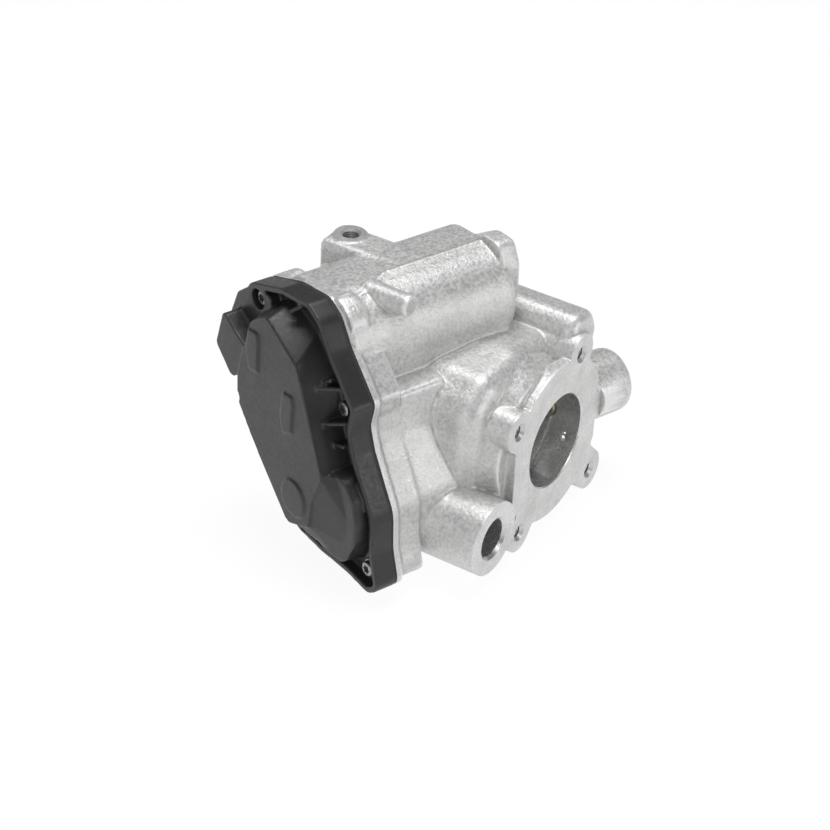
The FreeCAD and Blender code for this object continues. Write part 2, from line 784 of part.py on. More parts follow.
def build_shaft_group():
    """Valve shaft with its bearings, seal, flap and pin."""
    shaft = rod_x("valve_shaft", "shaft_radius", "-shaft_head", "shaft_far_end + shaft_head", SHAFT)
    pin_across = cross_bar("flap_pin_hole", "flap_pin_radius", "2 * flap_hub + 1")
    shaft = cut("valve_shaft_drilled", shaft, pin_across)
    pieces = {"valve_shaft": shaft}
    bore = "shaft_radius + fit_gap"
    wall = "seat_wall"
    pieces["shaft_front_bearing"] = ring_x(
        "front_bearing", bore, wall, "-bearing_level", "bearing_length", SHAFT
    )
    pieces["shaft_seal"] = ring_x(
        "shaft_seal", bore, wall, "-bearing_level + bearing_length + 1", "seal_length", SHAFT
    )
    pieces["shaft_middle_bush"] = ring_x(
        "middle_bush", bore, wall, "bush_near_end - bush_length", "bush_length", SHAFT
    )
    pieces["shaft_far_bush"] = ring_x("far_bush", bore, "far_wall", "bush_far_start", "far_length", SHAFT)
    pieces["shaft_thrust_washer"] = ring_x(
        "thrust_washer", bore, "washer_wall", "-bearing_level - washer_thick", "washer_thick", SHAFT
    )

    disc = rod_port(
        "flap_disc", "flap_radius", "-shaft_back / cos(port_tilt) - flap_thick / 2", "flap_thick"
    )
    hub = rod_x("flap_hub_bar", "flap_hub", "flap_middle - flap_hub_length / 2", "flap_hub_length", SHAFT)
    bored = rod_x(
        "flap_bore", "shaft_radius", "flap_middle - flap_hub_length", "2 * flap_hub_length", SHAFT
    )
    pin_hole = cross_bar("flap_hub_hole", "flap_pin_radius", "2 * flap_hub + 1")
    pieces["valve_flap"] = cut("flap", fuse("flap_solid", [disc, hub]), [bored, pin_hole])
    pieces["flap_pin"] = cross_bar("flap_cross_pin", "flap_pin_radius", "2 * flap_hub - 0.4")
    return pieces


def cross_bar(name, radius, length):
    """A round bar through the shaft along Z, centred on it where the flap sits."""
    bar = rod(name, radius, length)
    place(bar, "flap_middle", "shaft_back", f"-({length}) / 2", FreeCAD.Rotation())
    return bar


def gear_stage():
    """Motor pinion, intermediate gear and sector, in mesh at rest."""
    pieces = {}
    to_motor = heading(AXLE, MOTOR)
    to_shaft = heading(AXLE, SHAFT)
    wheel = gear(
        "wheel", size("motor_module"), round(size("wheel_teeth")), to_motor + 180 / size("wheel_teeth"),
        "wheel_thick", "-wheel_top", AXLE,
    )
    small = gear(
        "pinion", size("sector_module"), round(size("pinion_teeth")), to_shaft,
        "pinion_level - washer_level - washer_thick", "-pinion_level", AXLE,
    )
    hub = rod_x("gear_hub", "gear_hub", "-wheel_level - 0.5", "wheel_level - pinion_level + 1", AXLE)
    bore = rod_x("gear_bore", "axle_radius + fit_gap", "-wheel_level - 2 * wheel_thick", 40, AXLE)
    pieces["intermediate_gear"] = cut("intermediate", fuse("intermediate_solid", [wheel, small, hub]), bore)
    motor_gear = gear(
        "motor_gear", size("motor_module"), round(size("motor_teeth")), to_motor + 180,
        "wheel_thick + 0.6", "-wheel_top - 0.3", MOTOR,
    )
    motor_hub = rod_x("motor_gear_hub", "pinion_hub", "-wheel_level", 3, MOTOR)
    motor_bore = rod_x("motor_gear_bore", "motor_shaft", "-wheel_level - 2 * wheel_thick", 30, MOTOR)
    pieces["motor_pinion"] = cut(
        "motor_pinion_cut", fuse("motor_pinion_solid", [motor_gear, motor_hub]), motor_bore
    )
    pieces["intermediate_axle"] = rod_x("axle", "axle_radius", "-axle_tip", "axle_grip", AXLE)
    pieces["axle_washer"] = ring_x(
        "axle_washer", "axle_radius + fit_gap", "washer_wall", "-washer_level - washer_thick",
        "washer_thick", AXLE,
    )
    pieces["sector_gear"] = build_sector(heading(SHAFT, AXLE))
    return pieces


def build_sector(to_axle):
    """Toothed sector on the valve shaft: enough teeth for the travel, and a hub over the spring."""
    module = size("sector_module")
    teeth = round(size("sector_teeth"))
    step = 360 / teeth
    count = math.ceil(size("valve_travel") / step) + 2
    phase = to_axle + step / 2
    outline = tooth_outline(module, teeth, phase, 1 - count, 1)
    points = [(0.0, 0.0)] + outline
    toothed = pad("sector_teeth_body", polygon(points), "sector_thick")
    place(toothed, "-sector_top", "shaft_back", 0)
    disc = rod_x("sector_disc", "sector_web", "-sector_top", "sector_thick", SHAFT)
    hub = rod_x(
        "sector_hub_bar", "sector_hub", "-sector_top", "sector_thick + sector_hub_length - fit_gap", SHAFT
    )
    bore = rod_x("sector_bore", "shaft_radius", "-sector_level - 2 * sector_thick", 30, SHAFT)
    return cut("sector", fuse("sector_solid", [toothed, disc, hub]), bore)


def shaft_head():
    """Nut and sensor magnet on the near end of the shaft."""
    hexagon = doc.addObject("Part::Prism", "nut_hexagon")
    hexagon.Polygon = 6
    hexagon.setExpression("Circumradius", expression("nut_reach"))
    hexagon.setExpression("Height", expression("nut_thick"))
    place(hexagon, "-sector_top - nut_thick", "shaft_back", 0)
    bore = rod_x("nut_bore", "shaft_radius", "-sector_top - 2 * nut_thick", "3 * nut_thick", SHAFT)
    magnet = rod_x("magnet", "magnet_radius", "-shaft_head - magnet_height", "magnet_height", SHAFT)
    return {"sector_nut": cut("nut", hexagon, bore), "sensor_magnet": magnet}


def build_spring():
    """Torsion spring wound round the bearing post and the sector's hub, its wire drawn with flats."""
    helix = doc.addObject("Part::Helix", "spring_line")
    helix.setExpression("Radius", expression("spring_mean"))
    helix.setExpression("Pitch", expression("spring_pitch"))
    helix.setExpression("Height", expression("spring_pitch * spring_turns"))
    section = doc.addObject("Part::RegularPolygon", "spring_section")
    section.Polygon = 6
    section.setExpression("Circumradius", expression("spring_wire"))
    section.Placement = FreeCAD.Placement(V(), FreeCAD.Rotation(V(1, 0, 0), 90))
    section.setExpression("Placement.Base.x", expression("spring_mean"))
    spring = doc.addObject("Part::Sweep", "spring_sweep")
    spring.Sections = [section]
    spring.Spine = (helix, ["Edge1"])
    spring.Solid = True
    spring.Frenet = True
    place(
        spring, "-pocket_level - spring_wire - spring_pitch * spring_turns - spring_lift", "shaft_back", 0
    )
    return {"return_spring": spring}


def build_motor():
    """Brushed motor: can, magnets, armature, commutator, shaft, brushes, end plate and its screws."""
    pieces = {}
    can = rod_x("can_outer", "can_radius", "-pocket_level", "can_length", MOTOR)
    inside = rod_x(
        "can_inner", "can_radius - can_wall", "-pocket_level - 1", "can_length + 1 - can_wall", MOTOR
    )
    nose_hole = rod_x("can_nose_hole", "motor_shaft + fit_gap", "-pocket_level", "2 * can_length", MOTOR)
    pieces["motor_can"] = cut("can", can, [inside, nose_hole])

    magnet = ring_x(
        "motor_magnet_ring", "can_radius - can_wall - magnet_thick", "magnet_thick",
        "-pocket_level + magnet_start", "magnet_length", MOTOR,
    )
    gap = box_x(
        "magnet_gap", ("can_length", "magnet_split", "3 * can_radius"),
        ("-pocket_level", "motor_back - magnet_split / 2", "motor_up - 1.5 * can_radius"),
    )
    pieces["motor_magnets"] = cut("motor_magnet_pair", magnet, gap)

    core = rod_x("core_bar", "core_radius", "-pocket_level + core_start", "core_length", MOTOR)
    slots = []
    for number in range(round(size("core_slots"))):
        turn = 360 * number / size("core_slots")
        reach = size("can_radius") - size("can_wall") - size("magnet_thick") - size("core_gap") - size("slot_depth")
        at = (
            MOTOR[0] + reach * math.cos(math.radians(turn)), MOTOR[1] + reach * math.sin(math.radians(turn))
        )
        slots.append(
            rod_x(
                f"core_slot_{number}", "core_slot", "-pocket_level + core_start - past",
                "core_length + 2 * past", at,
            )
        )
    core_bore = rod_x("core_bore", "motor_shaft", "-pocket_level", "can_length", MOTOR)
    pieces["motor_armature"] = cut("armature", core, slots + [core_bore])
    pieces["motor_commutator"] = ring_x(
        "commutator", "motor_shaft", "commutator_radius - motor_shaft",
        "-pocket_level + commutator_start", "commutator_length", MOTOR,
    )
    pieces["motor_shaft"] = rod_x(
        "rotor_shaft", "motor_shaft", "-axle_tip",
        "axle_tip - pocket_level + can_length + rotor_shaft_proud", MOTOR,
    )

    plate = rod_x("end_disc", "can_radius", "-pocket_level - end_plate_thick", "end_plate_thick", MOTOR)
    ears = pad("end_ears", slot(*motor_ears(), size("ear_width")), "end_plate_thick")
    place(ears, "-pocket_level - end_plate_thick", 0, 0)
    nose = rod_x(
        "end_nose", "end_nose", "-pocket_level - end_plate_thick - end_nose_length", "end_nose_length",
        MOTOR,
    )
    holder = ring_x(
        "brush_holder", "holder_radius", "can_radius - can_wall - holder_radius - brush_gap",
        "-pocket_level", "holder_length", MOTOR,
    )
    bore = rod_x("end_bore", "motor_shaft + fit_gap", "-pocket_level - can_radius", "2 * can_radius", MOTOR)
    holes = [
        rod_x(
            f"end_hole_{number}", "ear_screw", "-pocket_level - 2 * end_plate_thick",
            "3 * end_plate_thick", at,
        )
        for number, at in enumerate(motor_ears(), start=1)
    ]
    pieces["motor_end_plate"] = cut(
        "end_plate", fuse("end_plate_solid", [plate, ears, nose, holder]), [bore] + holes
    )

    brush = box_x(
        "brush_bar", ("brush_length", "2 * holder_radius", "brush_width"),
        ("-pocket_level + brush_start", "motor_back - holder_radius", "motor_up - brush_width / 2"),
    )
    brush_gap = rod_x(
        "brush_gap", "commutator_radius + brush_gap", "-pocket_level", "holder_length + brush_start", MOTOR
    )
    keep = rod_x("brush_keep", "holder_radius", "-pocket_level", "holder_length + brush_start", MOTOR)
    trimmed = doc.addObject("Part::Common", "brush_trim")
    trimmed.Base = brush
    trimmed.Tool = keep
    pieces["motor_brushes"] = cut("brushes", trimmed, brush_gap)

    screws = []
    for number, at in enumerate(motor_ears(), start=1):
        head = rod_x(
            f"ear_head_{number}", "ear_head", "-pocket_level - end_plate_thick - ear_head_height",
            "ear_head_height", at,
        )
        shank = rod_x(
            f"ear_shank_{number}", "ear_screw", "-pocket_level - end_plate_thick - past",
            "end_plate_thick + ear_screw_length + past / 2", at,
        )
        screws.append(fuse(f"ear_screw_{number}", [head, shank]))
    pieces["motor_screws"] = group("motor_screw_pair", screws)

    blades = [
        box_x(
            f"blade_{number}", ("blade_length", "blade_width", "blade_thick"),
            (
                "-pocket_level - end_plate_thick - blade_length",
                f"motor_back + {side} * blade_apart / 2 - past / 2",
                "motor_up + blade_up",
            ),
        )
        for number, side in enumerate((-1, 1), start=1)
    ]
    pieces["motor_contacts"] = group("motor_contact_pair", blades)
    outer = dish("spring_dish", "can_radius - dish_rim")
    inner = dish("spring_dish_inner", "can_radius - dish_rim - dish_wall")
    pieces["motor_disc_spring"] = cut("dish", outer, inner)
    return pieces


def dish(name, rim):
    """A low cone behind the motor can."""
    cone = doc.addObject("Part::Cone", name)
    cone.setExpression("Radius1", expression(rim))
    cone.setExpression("Radius2", expression(f"{rim} - dish_slope"))
    cone.setExpression("Height", expression("dish_height"))
    place(cone, "-pocket_level + can_length + dish_gap", "motor_back", "motor_up")
    return cone


def group(name, solids):
    """Several separate solids that share one node."""
    bunch = doc.addObject("Part::Compound", name)
    bunch.Links = solids
    return bunch


def socket_frame():
    """The outer face of the socket plate: its middle, the way along it and the way out of it."""
    start = V(*SOCKET_PLATE[2][:2])
    end = V(*SOCKET_PLATE[3][:2])
    along = (end - start).normalize()
    return (start + end) / 2, along, V(-along.y, along.x)


def slab(shift, outer, inner, width):
    """Corners of a bar that runs into the socket's face, from one depth to another."""
    middle, along, out = socket_frame()
    side = along * (width / 2)
    front = middle + along * shift + out * outer
    back = middle + along * shift + out * inner
    return polygon([tuple(point)[:2] for point in (front - side, back - side, back + side, front + side)])


def terminal_pins(name):
    """The pins that stand in the socket and reach through its floor."""
    count = round(size("terminal_count"))
    pins = []
    for number in range(count):
        shift = (number - (count - 1) / 2) * size("terminal_pitch")
        edges = slab(shift, -size("terminal_set_back"), -size("socket_deep") - 5, size("terminal_side"))
        pin = pad(f"{name}_{number}", edges, "terminal_side")
        place(pin, "-cover_base - socket_middle - terminal_side / 2", 0, 0)
        pins.append(pin)
    return pins


def inset(corners, distance):
    """Corners of an outline moved in by a distance."""
    moved = []
    for index, (back, up, radius) in enumerate(corners):
        here = V(back, up)
        before = (here - V(*corners[index - 1][:2])).normalize()
        after = (V(*corners[(index + 1) % len(corners)][:2]) - here).normalize()
        aside = (V(-before.y, before.x) + V(-after.y, after.x)).normalize()
        lean = aside * V(-after.y, after.x)
        point = here + aside * (distance / lean)
        moved.append((point.x, point.y, radius))
    return moved


def faceted_dome(name, wall, height):
    """A dome with a facet on each side of its foot, or its hollow where a wall is left."""
    foot = sketch(name + "_foot", rounded(inset(DOME_FOOT, wall)))
    place(foot, "-cover_base", 0, 0)
    top = sketch(name + "_top", rounded(inset(DOME_TOP, wall)))
    place(top, f"-cover_base - ({height})", 0, 0)
    loft = doc.addObject("Part::Loft", name)
    loft.Sections = [foot, top]
    loft.Solid = True
    loft.Ruled = True
    return loft


def cover_reliefs():
    """Pads on the dome's top and ribs beside it."""
    pads = []
    for number, outline in enumerate(DOME_PADS, start=1):
        piece = pad(f"dome_pad_{number}", rounded(outline), "2 * pad_height")
        place(piece, "-cover_base - dome_height - pad_height", 0, 0)
        pads.append(piece)
    pads.append(
        rod_x(
            "round_pad", "round_pad", "-cover_base - dome_height - pad_height", "2 * pad_height", ROUND_PAD
        )
    )
    ribs = []
    for number, (start, end) in enumerate(COVER_RIBS, start=1):
        rib = pad(f"cover_rib_{number}", slot(start, end, size("rib_width") / 2), "rib_height")
        place(rib, "-cover_base - gutter_height + gutter_floor - rib_height", 0, 0)
        ribs.append(rib)
    return pads + ribs


def build_cover(joint):
    """Plastic cover: skirt, screw gutter, two domes and the socket, hollow from below."""
    skirt_outer = extrude("skirt_outer", joint, "skirt_height", -1)
    skirt_inner = extrude("skirt_inner", offset("skirt_line", joint, "-skirt_wall"), "2 * skirt_height", -1)
    skirt = cut("skirt", skirt_outer, skirt_inner)
    floor = extrude("gutter_plate", joint, "gutter_height", -1)
    dome = faceted_dome("dome", 0, "dome_height")
    low_sketch = sketch("low_dome_outline", rounded(LOW_DOME))
    place(low_sketch, "-cover_base", 0, 0)
    low = extrude("low_dome", low_sketch, "low_dome_height", -1, "dome_draft")
    plate = pad("socket_plate", rounded(SOCKET_PLATE), "skirt_height")
    place(plate, "-cover_base - skirt_height", 0, 0)
    block = pad("socket_block", rounded(SOCKET_BLOCK), "block_height")
    place(block, "-cover_base - block_height", 0, 0)
    solid = fuse("cover_solid", [floor, skirt, dome, low, plate, block] + cover_reliefs())

    hollow = extrude(
        "cover_hollow", offset("hollow_line", joint, "-pocket_inset"), "gutter_height - gutter_floor", -1
    )
    upper = faceted_dome("dome_hollow", size("dome_wall"), "dome_height - dome_wall")
    low_line = offset("low_dome_hollow_line", low_sketch, "-dome_wall")
    lower = extrude("low_dome_hollow", low_line, "low_dome_height - dome_wall", -1, "dome_draft")
    well = "screw_head + head_gap + head_wall"
    wells = at_screws(
        "head_well", well, "-cover_base - dome_height", "dome_height - gutter_height + gutter_floor"
    )
    domes = cut("dome_insides", fuse("dome_hollows", [upper, lower]), wells)
    inside = fuse("cover_inside", [hollow, domes])
    seat = rod_x(
        "axle_seat_boss", "axle_boss", "-cover_base - dome_height",
        "cover_base + dome_height - axle_tip + 1", AXLE,
    )
    inside = cut(
        "cover_inside_cut", inside,
        [seat] + screw_webs("cover_post", "-cover_base - dome_height", "2 * dome_height"),
    )
    socket = pad("socket", slab(0, size("socket_past"), -size("socket_deep"), size("socket_long")), "socket_high")
    place(socket, "-cover_base - socket_middle - socket_high / 2", 0, 0)
    tools = [inside, socket, rod_x("axle_pocket", "axle_radius", "-axle_tip", "10", AXLE)]
    tools += at_screws("head_room", "screw_head + head_gap", "-gutter_level - bore_run", "bore_run")
    tools += at_screws("sleeve_hole", "sleeve_outer", "-cover_base - bore_run", "bore_run + past")
    tools += terminal_pins("pin_slot")
    return cut("actuator_cover", solid, tools)


def cover_hardware(joint):
    """Gasket, screws and their sleeves, terminals and the sensor board."""
    pieces = {}
    outline = offset("gasket_line", joint, "-gasket_inset")
    outer = extrude("gasket_outer", outline, "gasket_thick")
    inner = extrude(
        "gasket_inner", offset("gasket_inner_line", joint, "-gasket_inset - gasket_width"), "gasket_thick"
    )
    ring = cut("gasket_ring", outer, inner)
    eyes = doc.addObject("Part::Common", "gasket_eyes")
    eyes.Base = outer
    eyes.Tool = fuse("gasket_webs", screw_webs("gasket_web", "-cover_base", "gasket_thick"))
    holes = at_screws("gasket_hole", "sleeve_outer", "-cover_base - 1", "gasket_thick + 2")
    pieces["cover_gasket"] = cut("gasket", fuse("gasket_solid", [ring, eyes]), holes)
    heads = at_screws("head", "screw_head", "-gutter_level - screw_head_height", "screw_head_height")
    drives = at_screws(
        "drive", "screw_drive", "-gutter_level - screw_head_height - 1", "0.6 * screw_head_height + 1"
    )
    shanks = at_screws(
        "shank", "screw_radius", "-gutter_level", "gutter_level - joint_reach + screw_length"
    )
    screws = []
    for number, (head, drive, shank) in enumerate(zip(heads, drives, shanks), start=1):
        screws.append(cut(f"cover_screw_{number}", fuse(f"screw_solid_{number}", [head, shank]), drive))
    pieces["cover_screws"] = group("cover_screw_set", screws)
    sleeves = [
        ring_x(
            f"sleeve_{number}", "screw_radius + sleeve_gap", "sleeve_wall", "-gutter_level",
            "gutter_level - joint_reach", at,
        )
        for number, at in enumerate(SCREWS, start=1)
    ]
    pieces["screw_sleeves"] = group("sleeve_set", sleeves)
    pieces["connector_terminals"] = group("terminal_set", terminal_pins("terminal"))
    board = pad("board", rounded(BOARD), "board_thick")
    place(board, "-cover_base - low_dome_height + dome_wall", 0, 0)
    pieces["sensor_board"] = board
    return pieces


def check_and_export(pieces):
    """Stops on any failed object or bad solid, then writes one file for each piece."""
    doc.recompute()
    bad = [item.Name for item in doc.Objects if "Invalid" in item.State or "Error" in item.State]
    if bad:
        raise RuntimeError(f"objects that failed: {bad}")
    for node, piece in pieces.items():
        if piece.Shape.isNull() or not piece.Shape.isValid() or piece.Shape.Volume <= 0:
            raise RuntimeError(f"bad shape: {node}")
    os.makedirs("parts", exist_ok=True)
    for node, piece in pieces.items():
        piece.Label = node
        piece.Shape.exportStep(os.path.join("parts", f"{node}.step"))
        print(node, len(piece.Shape.Solids), round(piece.Shape.Volume), flush=True)


def main():
    housing_joint = joint_outline("housing_joint", "-joint_reach")
    cover_joint = joint_outline("cover_joint", "-cover_base")
    pieces = {"valve_housing": build_housing(housing_joint), "actuator_cover": build_cover(cover_joint)}
    pieces.update(build_shaft_group())
    pieces.update(gear_stage())
    pieces.update(shaft_head())
    pieces.update(build_spring())
    pieces.update(build_motor())
    pieces.update(cover_hardware(cover_joint))
    check_and_export(pieces)


main()
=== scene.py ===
import json
import math

import bmesh
import bpy
from mathutils import Matrix, Vector


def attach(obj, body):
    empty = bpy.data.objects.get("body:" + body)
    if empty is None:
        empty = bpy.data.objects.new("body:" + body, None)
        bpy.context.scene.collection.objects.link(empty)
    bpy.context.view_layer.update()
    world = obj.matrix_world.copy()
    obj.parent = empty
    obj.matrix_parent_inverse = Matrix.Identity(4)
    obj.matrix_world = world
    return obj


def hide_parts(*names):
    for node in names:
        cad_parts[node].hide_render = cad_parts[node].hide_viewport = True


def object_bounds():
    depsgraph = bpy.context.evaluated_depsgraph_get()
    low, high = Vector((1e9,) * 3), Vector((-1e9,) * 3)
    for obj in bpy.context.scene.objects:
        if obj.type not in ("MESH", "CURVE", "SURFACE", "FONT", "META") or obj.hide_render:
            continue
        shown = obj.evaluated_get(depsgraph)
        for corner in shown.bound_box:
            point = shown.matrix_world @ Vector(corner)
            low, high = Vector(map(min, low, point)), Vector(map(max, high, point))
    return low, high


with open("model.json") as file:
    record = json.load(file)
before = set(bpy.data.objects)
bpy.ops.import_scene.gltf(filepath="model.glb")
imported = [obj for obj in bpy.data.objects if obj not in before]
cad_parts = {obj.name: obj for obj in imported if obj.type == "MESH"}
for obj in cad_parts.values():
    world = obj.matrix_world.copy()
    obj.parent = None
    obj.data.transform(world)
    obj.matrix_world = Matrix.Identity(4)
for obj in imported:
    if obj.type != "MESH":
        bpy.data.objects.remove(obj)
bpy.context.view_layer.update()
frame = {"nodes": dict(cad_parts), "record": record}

# An electrically driven exhaust gas recirculation valve. The die-cast housing is modelled as it is made:
# a soft-edged raw casting, then machined faces and bores cut into it. Sizes are in millimetres here and
# turn into metres where a mesh is made.

MM = 0.001
CENTRE = (0, 0)

# Directions. In the port's frame a place is given across and up, and a depth along the port's axis. In
# the shafts' frame a place is given back and up, and a level along the shafts.
PORT_TILT = math.radians(20)
ACROSS = Vector((math.cos(PORT_TILT), math.sin(PORT_TILT), 0))
UP = Vector((0, 0, 1))
OUT = Vector((math.sin(PORT_TILT), -math.cos(PORT_TILT), 0))
TO_COVER = Vector((-1, 0, 0))
PORT_FRAME = Matrix((ACROSS, UP, OUT)).transposed().to_4x4()
X_FRAME = Matrix(((0, 0, 1), (1, 0, 0), (0, 1, 0))).to_4x4()
Z_FRAME = Matrix.Identity(4)

# Casting: metal left on for machining, and how far a face may stand off a plane that it lies in.
STOCK = 1.4
PLANE_GAP = 0.02

# Flange, port, duct and coolant spigot, in the port's frame.
FLANGE_HOLES = [(15.6, 33.2), (-30.2, 20.1), (31.2, -31.3), (-24.5, -31.2)]
FLANGE_RADIUS = 35.9
EAR_RADIUS = 9.6
EAR_ROOT = 30
TAP_RADIUS = 2.5
TAP_MOUTH = 3.9
TAP_PLUG = 4.2
TAP_DEPTH = 13
THREAD_PITCH = 1.0
PORT_RADIUS = 20
PORT_ENTRY = 12
PORT_MOUTH = 20.55
PORT_RELIEF = 20.6
PORT_RELIEF_SPAN = (-13.8, -11.5)
DUCT_RADIUS = 19.7
DUCT_OUTER = 25.6
DUCT_END = -62.0
SPIGOT = (-48.2, -19.3)
SPIGOT_LEVEL = 2.0
SPIGOT_OUTER = 17.5
SPIGOT_BORE = 8
SPIGOT_MOUTH = 9.3
SPIGOT_PLUG = 9.4
SPIGOT_DEPTH = 30

# Shafts, motor and gear case, in the shafts' frame.
JOINT_X = -83.0
JOINT_MIDDLE = (40, 20)
JOINT_REACH = 90
SHAFT = (24, 0)
SHAFT_BORE = 7
SHAFT_BORE_END = -8.7
FAR_BORE = 5.5
FAR_BORE_END = 42
AXLE = (49.56, 20.88)
AXLE_SEAT = 2.54
AXLE_END = -64.0
MOTOR = (50, 46)
MOTOR_BORE = 16.3
MOTOR_BORE_SPAN = (-75, -13)
MOTOR_SCREW = (69.5, 46)
MOTOR_SCREW_SEAT = 1.74
MOTOR_SCREW_END = -63.5
BARREL_WEB = [(25.4, 51), (25.8, 37), (42, 37), (42, 51)]
BARREL_WEB_SPAN = (-80, -7)
PARTING_LINE = [(-7, 46, 72.0), (-55, 46, 72.0), (-66, 41, 71.2), (-78, 37, 69.6)]
PARTING_RADIUS = 0.9

# Tab: where its tapped hole stands, and the level of its pad.
TAB = (-48.0, 78.0)
TAB_LEVEL = 72.6
TAB_PAD = 9
TAB_RADIUS = 3.3
TAB_MOUTH = 4.2
TAB_DEPTH = 14.5

# Cover screws, in the shafts' frame: radii, levels, and radius and level along the head.
SCREWS = [(1.6, -27.4), (20.3, 36.6), (76, 57.6), (80, 15), (57.5, -17), (42, -28.6)]
SCREW_HEAD = 3.9
SCREW_SHANK = 2.0
SCREW_END = -74.0
HEAD_SEAT = -88.4
HEAD_TOP = -91.4
SCREW_PROFILE = [
    (SCREW_SHANK, SCREW_END), (SCREW_SHANK, HEAD_SEAT), (SCREW_HEAD, HEAD_SEAT),
    (SCREW_HEAD, HEAD_SEAT - 0.9), (SCREW_HEAD - 0.25, HEAD_SEAT - 1.1),
    (SCREW_HEAD - 0.7, HEAD_SEAT - 1.15), (SCREW_HEAD - 0.85, HEAD_TOP + 0.35),
    (SCREW_HEAD - 1.1, HEAD_TOP + 0.08), (SCREW_HEAD - 1.4, HEAD_TOP),
]
SOCKET_LOBES = 6
SOCKET_RADIUS = 1.72
SOCKET_WAVE = 0.26
SOCKET_DEPTH = 1.7

# Cover: corners of the blend round both domes, and the top ends of the ribs behind the skirt.
DOME_BLEND = [
    (18.8, 8, -101.2), (24.8, -5, -101.2), (26.8, -18, -101.2), (36, -22, -101.2), (9.5, 5, -97.4),
    (5, -6, -97.4), (6.5, -16, -97.4), (16, -25.5, -97.4), (28, -26.5, -97.4), (18.8, 8, -96.2),
    (9.5, 5, -96.2), (5, -6, -96.2), (6.5, -16, -96.2), (16, -25.5, -96.2), (36, -22, -96.2),
    (19.5, 11, -100.6), (12.5, 10, -96.8), (19.5, 11, -96.2), (12.5, 10, -96.2),
]
COVER_RIBS = [
    ((31, 42, -97.6), (18.5, 46.5, -92)),
    ((26.5, 28.5, -97.6), (14.5, 33, -92)),
    ((50, 66, -96), (46, 70, -92)),
]
RIB_WIDTH = 1.5
RIB_FOOT = -86.5

# Studio, in metres and watts: what the camera sees as white, and the lamps' place, side and power.
WHITE_SEEN = 1.08
WORLD_LIGHT = 0.2
FLOOR_SHARE = 0.86
FLOOR_DROP = 0.0004
LAMP_TARGET = (-0.015, 0.03, 0.015)
LAMPS = {
    "key": ((0.05, 0.15, 0.9), 0.5, 4.6),
    "fill": ((-0.8, -0.3, 0.3), 0.5, 1.2),
    "rim": ((0.4, -0.85, 0.3), 0.4, 1.9),
}
CAMERA_PLACE = (-0.53685, -0.59358, 0.53672)
CAMERA_RIGHT = Vector((0.8034, -0.594, 0.0413))
CAMERA_UP = Vector((0.3004, 0.4642, 0.8332))
CAMERA_BACK = Vector((-0.5141, -0.657, 0.5514))
CAMERA_LENS = 104.1


# Materials


def nodes_of(name):
    """A new material with its node tree and its Principled shader."""
    made = bpy.data.materials.new(name)
    made.use_nodes = True
    tree = made.node_tree
    shader = tree.nodes["Principled BSDF"]
    return made, tree, shader


def noise(tree, scale, detail=3):
    """A noise texture in object space, with its factor output."""
    node = tree.nodes.new("ShaderNodeTexNoise")
    node.inputs["Scale"].default_value = scale
    node.inputs["Detail"].default_value = detail
    tree.links.new(coordinates(tree), node.inputs["Vector"])
    return node.outputs["Fac"]


def coordinates(tree):
    """The object coordinates of a tree, made once."""
    for node in tree.nodes:
        if node.bl_idname == "ShaderNodeTexCoord":
            return node.outputs["Object"]
    return tree.nodes.new("ShaderNodeTexCoord").outputs["Object"]


def spread(tree, value, low, high, start=0.3, end=0.7):
    """A value moved from start..end to low..high."""
    node = tree.nodes.new("ShaderNodeMapRange")
    tree.links.new(value, node.inputs["Value"])
    node.inputs["From Min"].default_value = start
    node.inputs["From Max"].default_value = end
    node.inputs["To Min"].default_value = low
    node.inputs["To Max"].default_value = high
    return node.outputs["Result"]


def ramp(tree, value, stops):
    """Colours along a value."""
    node = tree.nodes.new("ShaderNodeValToRGB")
    bar = node.color_ramp
    for place, colour in stops[2:]:
        bar.elements.new(place)
    for element, (place, colour) in zip(bar.elements, sorted(stops)):
        element.position = place
        element.color = (*colour, 1)
    tree.links.new(value, node.inputs["Fac"])
    return node.outputs["Color"]


def blend_colour(tree, factor, first, second, mode="MIX"):
    """Two colours mixed by a factor, each a socket or a value."""
    node = tree.nodes.new("ShaderNodeMix")
    node.data_type = "RGBA"
    node.blend_type = mode
    sockets = {item.identifier: item for item in node.inputs}
    for key, value in (("Factor_Float", factor), ("A_Color", first), ("B_Color", second)):
        if isinstance(value, bpy.types.NodeSocket):
            tree.links.new(value, sockets[key])
        elif key == "Factor_Float":
            sockets[key].default_value = value
        else:
            sockets[key].default_value = (*value, 1)
    return next(item for item in node.outputs if item.identifier == "Result_Color")


def bump(tree, height, strength, distance, below=None):
    """A bump from a height, over another where given."""
    node = tree.nodes.new("ShaderNodeBump")
    node.inputs["Strength"].default_value = strength
    node.inputs["Distance"].default_value = distance
    tree.links.new(height, node.inputs["Height"])
    if below:
        tree.links.new(below, node.inputs["Normal"])
    return node.outputs["Normal"]


def pointiness(tree):
    """How sharp the surface is, for painted highlights on edges and painted shade in hollows."""
    return tree.nodes.new("ShaderNodeNewGeometry").outputs["Pointiness"]


def dress(tree, shader, colour, roughness, metallic, normal):
    """Sets a shader's colour, roughness, metallic share and relief."""
    tree.links.new(colour, shader.inputs["Base Color"])
    tree.links.new(roughness, shader.inputs["Roughness"])
    shader.inputs["Metallic"].default_value = metallic
    tree.links.new(normal, shader.inputs["Normal"])


